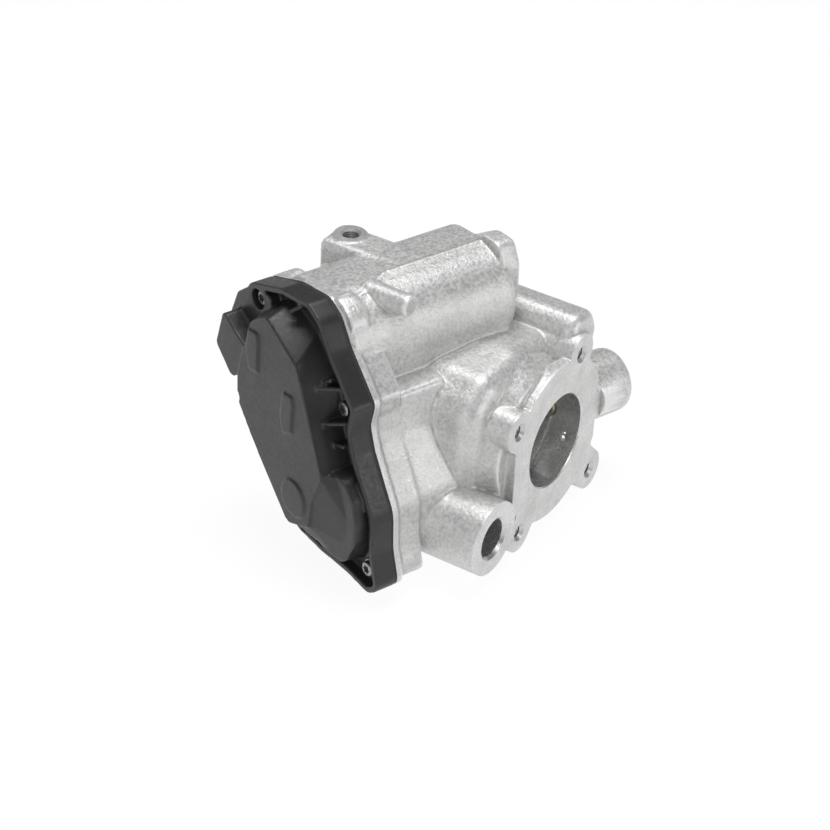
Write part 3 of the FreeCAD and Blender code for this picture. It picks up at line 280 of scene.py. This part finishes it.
def turned(tree, axes, centre, scale):
    """Fine rings round an axis, as a cutter leaves them."""
    mapping = tree.nodes.new("ShaderNodeMapping")
    mapping.vector_type = "TEXTURE"
    mapping.inputs["Location"].default_value = Vector(centre) * MM
    mapping.inputs["Rotation"].default_value = axes.to_euler()
    tree.links.new(coordinates(tree), mapping.inputs["Vector"])
    wave = tree.nodes.new("ShaderNodeTexWave")
    wave.wave_type = "RINGS"
    wave.rings_direction = "Z"
    wave.inputs["Scale"].default_value = scale
    wave.inputs["Distortion"].default_value = 0.4
    tree.links.new(mapping.outputs["Vector"], wave.inputs["Vector"])
    return wave.outputs["Fac"]


def cast_material():
    """Raw die casting: bright matt aluminium with a pebbled skin, a painted highlight along its edges
    and painted shade in its hollows.
    """
    made, tree, shader = nodes_of("cast_aluminium_skin")
    fine = noise(tree, 1700, 3)
    grain = noise(tree, 760, 4)
    medium = noise(tree, 260, 4)
    broad = noise(tree, 40, 5)
    flow = noise(tree, 16, 2)
    base = ramp(tree, broad, [(0.32, (0.74, 0.74, 0.735)), (0.66, (0.86, 0.86, 0.855))])
    speck = ramp(tree, grain, [(0.38, (0.72, 0.72, 0.72)), (0.58, (1.0, 1.0, 1.0))])
    base = blend_colour(tree, 0.7, base, speck, "MULTIPLY")
    patch = ramp(tree, medium, [(0.34, (0.88, 0.88, 0.875)), (0.6, (1.0, 1.0, 1.0))])
    base = blend_colour(tree, 0.7, base, patch, "MULTIPLY")
    # Painted highlight: the colour lightens along convex edges and ridges, where light catches.
    edge = spread(tree, pointiness(tree), 0, 0.9, 0.503, 0.53)
    base = blend_colour(tree, edge, base, (0.95, 0.95, 0.945))
    # Painted shade: the colour darkens in concave creases and hollows, where shade falls.
    painted_hollow_shade = spread(tree, pointiness(tree), 0.6, 0, 0.45, 0.497)
    base = blend_colour(tree, painted_hollow_shade, base, (0.4, 0.395, 0.385))
    relief = None
    for height, strength, depth in (
        (flow, 0.35, 0.0015), (medium, 0.35, 0.0005), (grain, 0.6, 0.0003), (fine, 0.5, 0.00014),
    ):
        relief = bump(tree, height, strength, depth, relief)
    dress(tree, shader, base, spread(tree, grain, 0.34, 0.56), 0.5, relief)
    return made


def machined_material(name, axes, centre, scale, rough):
    """Turned or milled aluminium with fine rings round an axis."""
    made, tree, shader = nodes_of(name)
    rings = turned(tree, axes, centre, scale)
    cloud = noise(tree, 90, 3)
    base = ramp(tree, cloud, [(0.3, (0.66, 0.66, 0.655)), (0.7, (0.8, 0.8, 0.795))])
    scratch = ramp(tree, noise(tree, 1100, 3), [(0.35, (0.78, 0.78, 0.78)), (0.6, (1.0, 1.0, 1.0))])
    base = blend_colour(tree, 0.6, base, scratch, "MULTIPLY")
    gloss = spread(tree, noise(tree, 300, 2), *rough)
    dress(tree, shader, base, gloss, 0.75, bump(tree, rings, 0.3, 0.00006))
    return made


def thread_material(name, way):
    """A tapped hole: fine threads along a direction."""
    made, tree, shader = nodes_of(name)
    half_pitch = THREAD_PITCH / 2 * MM
    along = tree.nodes.new("ShaderNodeVectorMath")
    along.operation = "DOT_PRODUCT"
    along.inputs[1].default_value = way
    tree.links.new(coordinates(tree), along.inputs[0])
    turns = tree.nodes.new("ShaderNodeMath")
    turns.operation = "PINGPONG"
    turns.inputs[1].default_value = half_pitch
    tree.links.new(along.outputs["Value"], turns.inputs[0])
    height = spread(tree, turns.outputs[0], 0, 1, 0, half_pitch)
    # Painted shade: the colour darkens in the thread roots, where shade falls between the crests.
    base = ramp(tree, height, [(0.0, (0.28, 0.28, 0.278)), (1.0, (0.8, 0.8, 0.795))])
    gloss = spread(tree, noise(tree, 900, 2), 0.28, 0.4)
    dress(tree, shader, base, gloss, 0.8, bump(tree, height, 0.9, half_pitch))
    return made


def cover_material():
    """Black glass-filled plastic with a fine moulded grain and a painted highlight along its edges."""
    made, tree, shader = nodes_of("cover_black_plastic")
    fine = noise(tree, 2200, 3)
    broad = noise(tree, 60, 4)
    base = ramp(tree, broad, [(0.3, (0.022, 0.022, 0.024)), (0.7, (0.036, 0.036, 0.039))])
    # Painted highlight: the colour turns paler along convex edges, where light catches.
    edge = spread(tree, pointiness(tree), 0, 0.5, 0.51, 0.58)
    base = blend_colour(tree, edge, base, (0.1, 0.1, 0.105))
    gloss = spread(tree, noise(tree, 700, 2), 0.34, 0.46)
    relief = bump(tree, fine, 0.35, 0.00008, bump(tree, broad, 0.1, 0.0006))
    dress(tree, shader, base, gloss, 0.0, relief)
    return made


def plain_finish(name):
    """A finish whose colour varies in broad patches, whose roughness and relief vary with fine grain,
    and whose edges carry a painted highlight.
    """
    low, high, metallic, rough, grain = FINISHES[name]
    made, tree, shader = nodes_of(name)
    fine = noise(tree, grain, 3)
    cloud = noise(tree, 70, 3)
    base = ramp(tree, cloud, [(0.3, low), (0.7, high)])
    # Painted highlight: the colour lightens along convex edges, where light catches.
    edge = spread(tree, pointiness(tree), 0, 0.4, 0.52, 0.6)
    base = blend_colour(tree, edge, base, tuple(min(1, channel * 1.5) for channel in high))
    dress(tree, shader, base, spread(tree, fine, *rough), metallic, bump(tree, fine, 0.3, 0.00006))
    return made


# Darkest and brightest colour, metallic share, roughness range and scale of the grain.
FINISHES = {
    "ground_steel": ((0.5, 0.5, 0.51), (0.62, 0.62, 0.63), 1.0, (0.2, 0.34), 1400),
    "zinc_steel": ((0.55, 0.56, 0.57), (0.7, 0.71, 0.72), 1.0, (0.28, 0.42), 500),
    "flap_steel": ((0.5, 0.49, 0.47), (0.64, 0.63, 0.61), 0.85, (0.34, 0.5), 900),
    "core_steel": ((0.3, 0.3, 0.31), (0.42, 0.42, 0.43), 1.0, (0.4, 0.6), 1800),
    "spring_steel": ((0.32, 0.32, 0.34), (0.46, 0.46, 0.48), 1.0, (0.25, 0.4), 1500),
    "dark_steel": ((0.05, 0.05, 0.054), (0.1, 0.1, 0.105), 0.8, (0.3, 0.45), 1200),
    "screw_steel": ((0.2, 0.19, 0.185), (0.4, 0.39, 0.38), 1.0, (0.26, 0.45), 1100),
    "bush_bronze": ((0.42, 0.37, 0.3), (0.55, 0.49, 0.4), 1.0, (0.35, 0.5), 2200),
    "copper": ((0.66, 0.36, 0.22), (0.78, 0.46, 0.3), 1.0, (0.25, 0.4), 900),
    "magnet_grey": ((0.1, 0.1, 0.11), (0.17, 0.17, 0.18), 0.3, (0.45, 0.62), 1600),
    "carbon": ((0.03, 0.03, 0.03), (0.07, 0.07, 0.07), 0.1, (0.5, 0.7), 2400),
    "gear_plastic": ((0.7, 0.67, 0.58), (0.8, 0.77, 0.68), 0.0, (0.4, 0.5), 1000),
    "end_plastic": ((0.05, 0.05, 0.055), (0.09, 0.09, 0.095), 0.0, (0.45, 0.6), 1500),
    "board_green": ((0.02, 0.16, 0.07), (0.04, 0.24, 0.11), 0.0, (0.25, 0.35), 1900),
    "seal_rubber": ((0.025, 0.025, 0.026), (0.05, 0.05, 0.052), 0.0, (0.6, 0.75), 1300),
}


# Meshes


def in_scene(name, draft):
    """A mesh object from a bmesh, linked to the scene."""
    mesh = bpy.data.meshes.new(name)
    draft.to_mesh(mesh)
    draft.free()
    made = bpy.data.objects.new(name, mesh)
    bpy.context.scene.collection.objects.link(made)
    return made


def solid_mesh(name, build):
    """A mesh object from what build adds to a bmesh, in metres."""
    draft = bmesh.new()
    build(draft)
    bmesh.ops.recalc_face_normals(draft, faces=draft.faces)
    return in_scene(name, draft)


def circle(radius, centre=CENTRE, count=96):
    """Points round a circle."""
    points = []
    for index in range(count):
        angle = 2 * math.pi * index / count
        points.append((centre[0] + radius * math.cos(angle), centre[1] + radius * math.sin(angle)))
    return points


def add_ring(draft, outline, level, axes):
    """Corners on an outline in the first two directions of axes, at a level in the third."""
    return [draft.verts.new(axes @ (Vector((x, y, level)) * MM)) for x, y in outline]


def close_rings(draft, rings):
    """Faces between each ring of corners and the next, and over the first and the last."""
    draft.faces.new(list(reversed(rings[0])))
    draft.faces.new(rings[-1])
    for lower, upper in zip(rings, rings[1:]):
        for index in range(len(lower)):
            after = (index + 1) % len(lower)
            draft.faces.new((lower[index], lower[after], upper[after], upper[index]))


def add_prism(draft, outline, start, end, axes):
    """A closed prism on an outline, from start to end."""
    close_rings(draft, [add_ring(draft, outline, level, axes) for level in (start, end)])


def add_cone(draft, centre, radii, span, axes, count=96):
    """A closed round bar or cone between two levels."""
    rings = []
    for radius, level in zip(radii, span):
        rings.append(add_ring(draft, circle(radius, centre, count), level, axes))
    close_rings(draft, rings)


def add_bead(draft, points, radius):
    """A round bead along a line of points, its pieces overlapping."""
    for start, end in zip(points, points[1:]):
        start = Vector(start)
        way = Vector(end) - start
        axes = Matrix.Translation(start * MM) @ way.to_track_quat("Z", "Y").to_matrix().to_4x4()
        add_cone(draft, CENTRE, (radius, radius), (-radius / 2, way.length + radius / 2), axes, 16)


def hull(points):
    """The corners of the tightest outline round flat points, in order."""
    def half(ordered):
        """One side of the outline."""
        chain = []
        for point in ordered:
            while len(chain) > 1:
                (ax, ay), (bx, by) = chain[-2:]
                if (bx - ax) * (point[1] - ay) - (by - ay) * (point[0] - ax) > 0:
                    break
                chain.pop()
            chain.append(point)
        return chain[:-1]

    ordered = sorted(points)
    return half(ordered) + half(ordered[::-1])


def copy_of(node, name):
    """A copy of a CAD node's mesh as an object of its own, its seams closed."""
    draft = bmesh.new()
    draft.from_mesh(frame["nodes"][node].data)
    draft.transform(frame["nodes"][node].matrix_world)
    bmesh.ops.remove_doubles(draft, verts=draft.verts, dist=1e-6)
    return in_scene(name, draft)


def grow_faces(made, point, normal):
    """Pulls the flat faces in one plane outwards, which leaves something to machine off."""
    draft = bmesh.new()
    draft.from_mesh(made.data)
    point = Vector(point) * MM
    chosen = [
        face for face in draft.faces
        if face.normal.dot(normal) > 0.999
        and abs((face.calc_center_median() - point).dot(normal)) < PLANE_GAP * MM
    ]
    grown = bmesh.ops.extrude_face_region(draft, geom=chosen)
    moved = [item for item in grown["geom"] if isinstance(item, bmesh.types.BMVert)]
    bmesh.ops.translate(draft, verts=moved, vec=Vector(normal) * STOCK * MM)
    bmesh.ops.delete(draft, geom=chosen, context="FACES")
    draft.to_mesh(made.data)
    draft.free()


def apply_all(made):
    """Applies an object's modifiers."""
    graph = bpy.context.evaluated_depsgraph_get()
    mesh = bpy.data.meshes.new_from_object(made.evaluated_get(graph))
    made.modifiers.clear()
    made.data = mesh


def soften(made, voxel, rounds, keep):
    """Joins an object's shells into one skin, rounds its edges and keeps a share of its faces."""
    remesh = made.modifiers.new("skin", "REMESH")
    remesh.mode = "VOXEL"
    remesh.voxel_size = voxel * MM
    smooth = made.modifiers.new("soft", "SMOOTH")
    smooth.factor = 0.5
    smooth.iterations = rounds
    thin = made.modifiers.new("thin", "DECIMATE")
    thin.ratio = keep
    apply_all(made)


def join_shells(made, extra):
    """Adds the shells of another object to one, and removes the other."""
    draft = bmesh.new()
    draft.from_mesh(made.data)
    draft.from_mesh(extra.data)
    draft.to_mesh(made.data)
    draft.free()
    bpy.data.objects.remove(extra)


def machine(made, tools):
    """Cuts closed tools out of an object, one by one."""
    for tool in tools:
        knife = made.modifiers.new("cut", "BOOLEAN")
        knife.operation = "DIFFERENCE"
        knife.solver = "MANIFOLD"
        knife.object = tool
    apply_all(made)
    for tool in tools:
        bpy.data.objects.remove(tool)


def bar_tool(name, centre, radii, span, axes):
    """A closed round tool."""
    return solid_mesh(name, lambda draft: add_cone(draft, centre, radii, span, axes))


def finish_mesh(made, angle):
    """Smooth shading, with the edges kept sharp that turn by more than an angle in degrees."""
    for face in made.data.polygons:
        face.use_smooth = True
    made.data.set_sharp_from_angle(angle=math.radians(angle))


# Housing


def raw_casting():
    """The housing before machining: its mouths closed, its machined faces left proud, its edges soft."""
    made = copy_of("valve_housing", "housing_casting")
    grow_faces(made, (0, 0, 0), OUT)
    grow_faces(made, OUT * SPIGOT_LEVEL, OUT)
    grow_faces(made, (JOINT_X, 0, 0), TO_COVER)
    grow_faces(made, (0, 0, TAB_LEVEL), UP)
    grow_faces(made, OUT * DUCT_END, -OUT)

    def plugs(draft):
        """Metal in the mouths that are bored again."""
        relief = (PORT_RELIEF, PORT_RELIEF)
        add_cone(draft, CENTRE, relief, (-4, STOCK), PORT_FRAME)
        add_cone(draft, CENTRE, relief, (DUCT_END - STOCK, DUCT_END + 4), PORT_FRAME)
        add_cone(draft, SPIGOT, (SPIGOT_PLUG, SPIGOT_PLUG), (-3, SPIGOT_LEVEL + STOCK), PORT_FRAME)
        for hole in FLANGE_HOLES:
            add_cone(draft, hole, (TAP_PLUG, TAP_PLUG), (-12, STOCK), PORT_FRAME, 32)
        add_cone(draft, TAB, (TAP_PLUG, TAP_PLUG), (60, TAB_LEVEL + STOCK), Z_FRAME, 32)

    def webs(draft):
        """Web beside the barrel, bosses over two blind holes, and the bead of the parting line."""
        add_prism(draft, BARREL_WEB, *BARREL_WEB_SPAN, X_FRAME)
        add_cone(draft, AXLE, (5.4, 4.6), (AXLE_END - 7.6, AXLE_END + 1.8), X_FRAME)
        add_cone(draft, MOTOR_SCREW, (4.4, 3.7), (-80, MOTOR_SCREW_END + 2.4), X_FRAME)
        add_bead(draft, PARTING_LINE, PARTING_RADIUS)

    join_shells(made, solid_mesh("plugs", plugs))
    join_shells(made, solid_mesh("webs", webs))
    soften(made, 0.7, 7, 0.5)
    return made


# Zones of the housing's surface, as its materials are numbered.
RAW, FLANGE_FACE, BORE, TURNED_SPIGOT, JOINT_FACE, FLANGE_THREAD, TAB_THREAD = range(7)

# Round cutters in one direction each: name, place, radius at both ends, and level of both ends.
PORT_CUTTERS = [
    ("duct_end", CENTRE, (DUCT_OUTER, DUCT_OUTER), (DUCT_END - 4, DUCT_END)),
    ("port_entry", CENTRE, (PORT_RADIUS, PORT_RADIUS), (-PORT_ENTRY, 6)),
    ("port_mouth", CENTRE, (PORT_RADIUS - 0.1, PORT_MOUTH), (-0.6, 0.05)),
    ("port_relief", CENTRE, (PORT_RELIEF, PORT_RELIEF), PORT_RELIEF_SPAN),
    ("duct", CENTRE, (DUCT_RADIUS, DUCT_RADIUS), (-70, 4)),
    ("spigot_face", SPIGOT, (SPIGOT_OUTER, SPIGOT_OUTER), (SPIGOT_LEVEL, 6)),
    ("spigot_bore", SPIGOT, (SPIGOT_BORE, SPIGOT_BORE), (-SPIGOT_DEPTH, 6)),
    ("spigot_mouth", SPIGOT, (SPIGOT_BORE, SPIGOT_MOUTH), (0.7, SPIGOT_LEVEL + PLANE_GAP)),
]
SHAFT_CUTTERS = [
    ("shaft_bore", SHAFT, (SHAFT_BORE, SHAFT_BORE), (JOINT_X - 4, SHAFT_BORE_END)),
    ("axle_seat", AXLE, (AXLE_SEAT, AXLE_SEAT), (AXLE_END - 10, AXLE_END + 0.1)),
    ("ear_seat", MOTOR_SCREW, (MOTOR_SCREW_SEAT, MOTOR_SCREW_SEAT), (-79, MOTOR_SCREW_END + 0.1)),
    ("far_seat", SHAFT, (FAR_BORE, FAR_BORE), (-9, FAR_BORE_END)),
    ("motor_bore", MOTOR, (MOTOR_BORE, MOTOR_BORE), MOTOR_BORE_SPAN),
    ("joint_face", JOINT_MIDDLE, (JOINT_REACH, JOINT_REACH), (JOINT_X - 6, JOINT_X)),
]
TAB_CUTTERS = [
    ("tab_face", TAB, (TAB_PAD, TAB_PAD), (TAB_LEVEL, TAB_LEVEL + 5)),
    ("tab_bore", TAB, (TAB_RADIUS, TAB_RADIUS), (TAB_LEVEL - TAB_DEPTH, TAB_LEVEL + 5)),
    ("tab_mouth", TAB, (TAB_RADIUS, TAB_MOUTH), (TAB_LEVEL - 0.9, TAB_LEVEL + PLANE_GAP)),
]


def housing_tools():
    """Everything that is milled, bored and tapped in the casting."""
    tools = [bar_tool("face_disc", CENTRE, (FLANGE_RADIUS, FLANGE_RADIUS), (0, 5), PORT_FRAME)]
    for number, hole in enumerate(FLANGE_HOLES):
        ear = hull(circle(EAR_RADIUS, hole, 48) + circle(EAR_ROOT))
        tools.append(solid_mesh(
            f"face_ear_{number}", lambda draft: add_prism(draft, ear, 0, 5.01, PORT_FRAME),
        ))
        tap = (TAP_RADIUS, TAP_RADIUS)
        tools.append(bar_tool(f"tap_{number}", hole, tap, (-TAP_DEPTH, 5), PORT_FRAME))
        mouth = (TAP_RADIUS, TAP_MOUTH)
        tools.append(bar_tool(f"tap_mouth_{number}", hole, mouth, (-1.4, PLANE_GAP), PORT_FRAME))
    for axes, cutters in ((PORT_FRAME, PORT_CUTTERS), (X_FRAME, SHAFT_CUTTERS), (Z_FRAME, TAB_CUTTERS)):
        tools += [bar_tool(*cutter, axes) for cutter in cutters]
    return tools


def in_plane(offset, facing):
    """Whether a face lies in a milled plane, from its distance and how far it faces that way."""
    return abs(offset) < PLANE_GAP and facing > 0.99


def port_zone(spot, facing):
    """Zone of a face by its place across, up and along the port, or raw casting."""
    if math.hypot(spot.x, spot.y) < PORT_RELIEF + 0.1 and DUCT_END - 0.5 < spot.z < 0.1:
        return BORE
    beside = math.hypot(spot.x - SPIGOT[0], spot.y - SPIGOT[1])
    if beside < SPIGOT_MOUTH + 0.2 and -SPIGOT_DEPTH - 0.5 < spot.z < SPIGOT_LEVEL + 0.1:
        return TURNED_SPIGOT
    if in_plane(spot.z - SPIGOT_LEVEL, facing) and beside < SPIGOT_OUTER:
        return TURNED_SPIGOT
    if in_plane(spot.z, facing) or in_plane(spot.z - DUCT_END, -facing):
        return FLANGE_FACE
    for hole in FLANGE_HOLES:
        beside = math.hypot(spot.x - hole[0], spot.y - hole[1])
        if beside < TAP_MOUTH + 0.05 and -TAP_DEPTH - 0.5 < spot.z < 0.1:
            return FLANGE_THREAD if beside < TAP_RADIUS + 0.05 and abs(facing) < 0.3 else FLANGE_FACE
    return RAW


def zone_of(centre, normal):
    """Which machined surface a face of the housing belongs to."""
    spot = Vector((centre.dot(ACROSS), centre.z, centre.dot(OUT))) / MM
    zone = port_zone(spot, normal.dot(OUT))
    if zone != RAW:
        return zone
    place = centre / MM
    if in_plane(place.x - JOINT_X, -normal.x) or in_plane(place.z - TAB_LEVEL, normal.z):
        return JOINT_FACE
    beside = math.hypot(place.x - TAB[0], place.y - TAB[1])
    if beside < TAB_MOUTH + 0.05 and place.z > TAB_LEVEL - TAB_DEPTH - 0.5:
        return TAB_THREAD if abs(normal.z) < 0.3 else JOINT_FACE
    return RAW


def sharpen_zones(made):
    """Sharp edges round every machined surface, and flat shading on the milled planes."""
    draft = bmesh.new()
    draft.from_mesh(made.data)
    for face in draft.faces:
        if face.material_index and any(face.normal.dot(way) > 0.9999 for way in (OUT, TO_COVER, UP)):
            face.smooth = False
    for edge in draft.edges:
        zones = {face.material_index for face in edge.link_faces}
        if len(zones) > 1:
            edge.smooth = False
    draft.to_mesh(made.data)
    draft.free()


def build_housing():
    """The finished housing, which stands for the CAD housing."""
    made = raw_casting()
    machine(made, housing_tools())
    milled, bored = (0.34, 0.48), (0.2, 0.34)
    spigot_at = ACROSS * SPIGOT[0] + UP * SPIGOT[1]
    made.data.materials.clear()
    for item in (
        cast_material(),
        machined_material("flange_face_milled", PORT_FRAME, (0, 0, 0), 700, milled),
        machined_material("port_bore_turned", PORT_FRAME, (0, 0, 0), 1200, bored),
        machined_material("spigot_turned", PORT_FRAME, spigot_at, 1400, bored),
        machined_material("joint_face_milled", X_FRAME, (0, *JOINT_MIDDLE), 500, milled),
        thread_material("flange_thread", OUT),
        thread_material("tab_thread", UP),
    ):
        made.data.materials.append(item)
    for face in made.data.polygons:
        face.material_index = zone_of(face.center, face.normal)
    finish_mesh(made, 32)
    sharpen_zones(made)
    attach(made, "body")
    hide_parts("valve_housing")


# Cover


def add_hull(made, points):
    """Adds the closed shell round some points, given as back, up and along the shaft."""
    draft = bmesh.new()
    for point in points:
        draft.verts.new(X_FRAME @ (Vector(point) * MM))
    found = bmesh.ops.convex_hull(draft, input=draft.verts)
    inner = found["geom_interior"] + found["geom_unused"]
    unused = {item for item in inner if isinstance(item, bmesh.types.BMVert)}
    bmesh.ops.delete(draft, geom=list(unused), context="VERTS")
    join_shells(made, in_scene("hull", draft))


def add_rib(made, start, end):
    """A thin rib whose top falls from one point to another."""
    way = Vector((end[0] - start[0], end[1] - start[1])).normalized() * RIB_WIDTH / 2
    points = []
    for back, up, level in (start, end):
        for side in (-1, 1):
            for depth in (level, RIB_FOOT):
                points.append((back - side * way.y, up + side * way.x, depth))
    add_hull(made, points)


def build_cover():
    """The plastic cover with soft moulded edges, which stands for the CAD cover."""
    made = copy_of("actuator_cover", "cover_moulding")
    add_hull(made, DOME_BLEND)
    for start, end in COVER_RIBS:
        add_rib(made, start, end)
    soften(made, 0.5, 3, 0.35)
    made.data.materials.append(cover_material())
    finish_mesh(made, 60)
    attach(made, "body")
    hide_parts("actuator_cover")


# Cover screws


def add_screw(draft, centre):
    """A flange-headed screw with a lobed socket, its axis along the shaft."""
    count = 72
    rings = []
    for radius, level in SCREW_PROFILE:
        rings.append(add_ring(draft, circle(radius, centre, count), level, X_FRAME))
    socket = []
    for index in range(count):
        angle = 2 * math.pi * index / count
        radius = SOCKET_RADIUS + SOCKET_WAVE * math.cos(SOCKET_LOBES * angle)
        socket.append((centre[0] + radius * math.cos(angle), centre[1] + radius * math.sin(angle)))
    for level in (HEAD_TOP, HEAD_TOP + SOCKET_DEPTH):
        rings.append(add_ring(draft, socket, level, X_FRAME))
    close_rings(draft, rings)


def build_screws():
    """The screws of the cover, which stand for the CAD screws."""
    def add_all(draft):
        """Each screw in its place."""
        for centre in SCREWS:
            add_screw(draft, centre)

    made = solid_mesh("cover_screw_set", add_all)
    made.data.materials.append(plain_finish("screw_steel"))
    finish_mesh(made, 35)
    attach(made, "body")
    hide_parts("cover_screws")


# Other CAD nodes


def dress_nodes():
    """Gives every CAD node that stays its finish."""
    slots = {entry["node"]: entry["material_slot"] for entry in frame["record"]["subparts"]}
    made = {slot: plain_finish(slot) for slot in FINISHES}
    made["cast_aluminium"] = made["zinc_steel"]
    made["cover_plastic"] = made["end_plastic"]
    for node, item in frame["nodes"].items():
        item.data.materials.clear()
        item.data.materials.append(made[slots[node]])
        for face in item.data.polygons:
            face.material_index = 0


# Stage, light and camera


def build_stage():
    """Plain pale floor that reads as white to the camera and still takes the part's shadow."""
    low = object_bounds()[0]
    bpy.ops.mesh.primitive_plane_add(size=6, location=(0, 0, low[2] - FLOOR_DROP))
    floor = bpy.context.object
    floor.name = "floor"
    made, tree, shader = nodes_of("floor_white")
    shader.inputs["Base Color"].default_value = (0.86, 0.86, 0.86, 1)
    shader.inputs["Roughness"].default_value = 0.9
    glow = tree.nodes.new("ShaderNodeEmission")
    glow.inputs["Color"].default_value = (1, 1, 1, 1)
    glow.inputs["Strength"].default_value = WHITE_SEEN
    path = tree.nodes.new("ShaderNodeLightPath")
    seen = tree.nodes.new("ShaderNodeMath")
    seen.operation = "MAXIMUM"
    tree.links.new(path.outputs["Is Camera Ray"], seen.inputs[0])
    tree.links.new(path.outputs["Is Glossy Ray"], seen.inputs[1])
    share = tree.nodes.new("ShaderNodeMath")
    share.operation = "MULTIPLY"
    share.inputs[1].default_value = FLOOR_SHARE
    tree.links.new(seen.outputs[0], share.inputs[0])
    mix = tree.nodes.new("ShaderNodeMixShader")
    tree.links.new(share.outputs[0], mix.inputs[0])
    tree.links.new(shader.outputs[0], mix.inputs[1])
    tree.links.new(glow.outputs[0], mix.inputs[2])
    output = next(node for node in tree.nodes if node.bl_idname == "ShaderNodeOutputMaterial")
    tree.links.new(mix.outputs[0], output.inputs["Surface"])
    floor.data.materials.append(made)


def build_world():
    """White to the camera, and weaker as a light and in reflections."""
    world = bpy.data.worlds.new("studio")
    bpy.context.scene.world = world
    world.use_nodes = True
    tree = world.node_tree
    sky = tree.nodes["Background"]
    sky.inputs["Color"].default_value = (1, 1, 1, 1)
    sky.inputs["Strength"].default_value = WORLD_LIGHT
    bright = tree.nodes.new("ShaderNodeBackground")
    bright.inputs["Color"].default_value = (1, 1, 1, 1)
    bright.inputs["Strength"].default_value = WHITE_SEEN
    path = tree.nodes.new("ShaderNodeLightPath")
    mix = tree.nodes.new("ShaderNodeMixShader")
    tree.links.new(path.outputs["Is Camera Ray"], mix.inputs[0])
    tree.links.new(sky.outputs[0], mix.inputs[1])
    tree.links.new(bright.outputs[0], mix.inputs[2])
    tree.links.new(mix.outputs[0], tree.nodes["World Output"].inputs["Surface"])


def softbox(name, place, side, power):
    """A square area lamp aimed at the part."""
    lamp = bpy.data.lights.new(name, "AREA")
    lamp.size = side
    lamp.energy = power
    made = bpy.data.objects.new(name, lamp)
    made.location = place
    made.rotation_euler = (Vector(LAMP_TARGET) - Vector(place)).to_track_quat("-Z", "Y").to_euler()
    bpy.context.scene.collection.objects.link(made)


def build_lights():
    """Large soft key from above, a fill from the front left and a rim from the right."""
    for name, (place, side, power) in LAMPS.items():
        softbox(name, place, side, power)


def build_camera():
    """Camera at the photograph's viewing angle."""
    lens = bpy.data.cameras.new("camera")
    lens.sensor_width = 36
    lens.lens = CAMERA_LENS
    lens.clip_start = 0.01
    made = bpy.data.objects.new("camera", lens)
    rotation = Matrix((CAMERA_RIGHT, CAMERA_UP, CAMERA_BACK)).transposed()
    made.matrix_world = Matrix.Translation(CAMERA_PLACE) @ rotation.to_4x4()
    bpy.context.scene.collection.objects.link(made)
    bpy.context.scene.camera = made


bpy.context.scene.view_settings.view_transform = "Standard"
build_camera()
build_world()
build_lights()
build_stage()
dress_nodes()
build_housing()
build_cover()
build_screws()
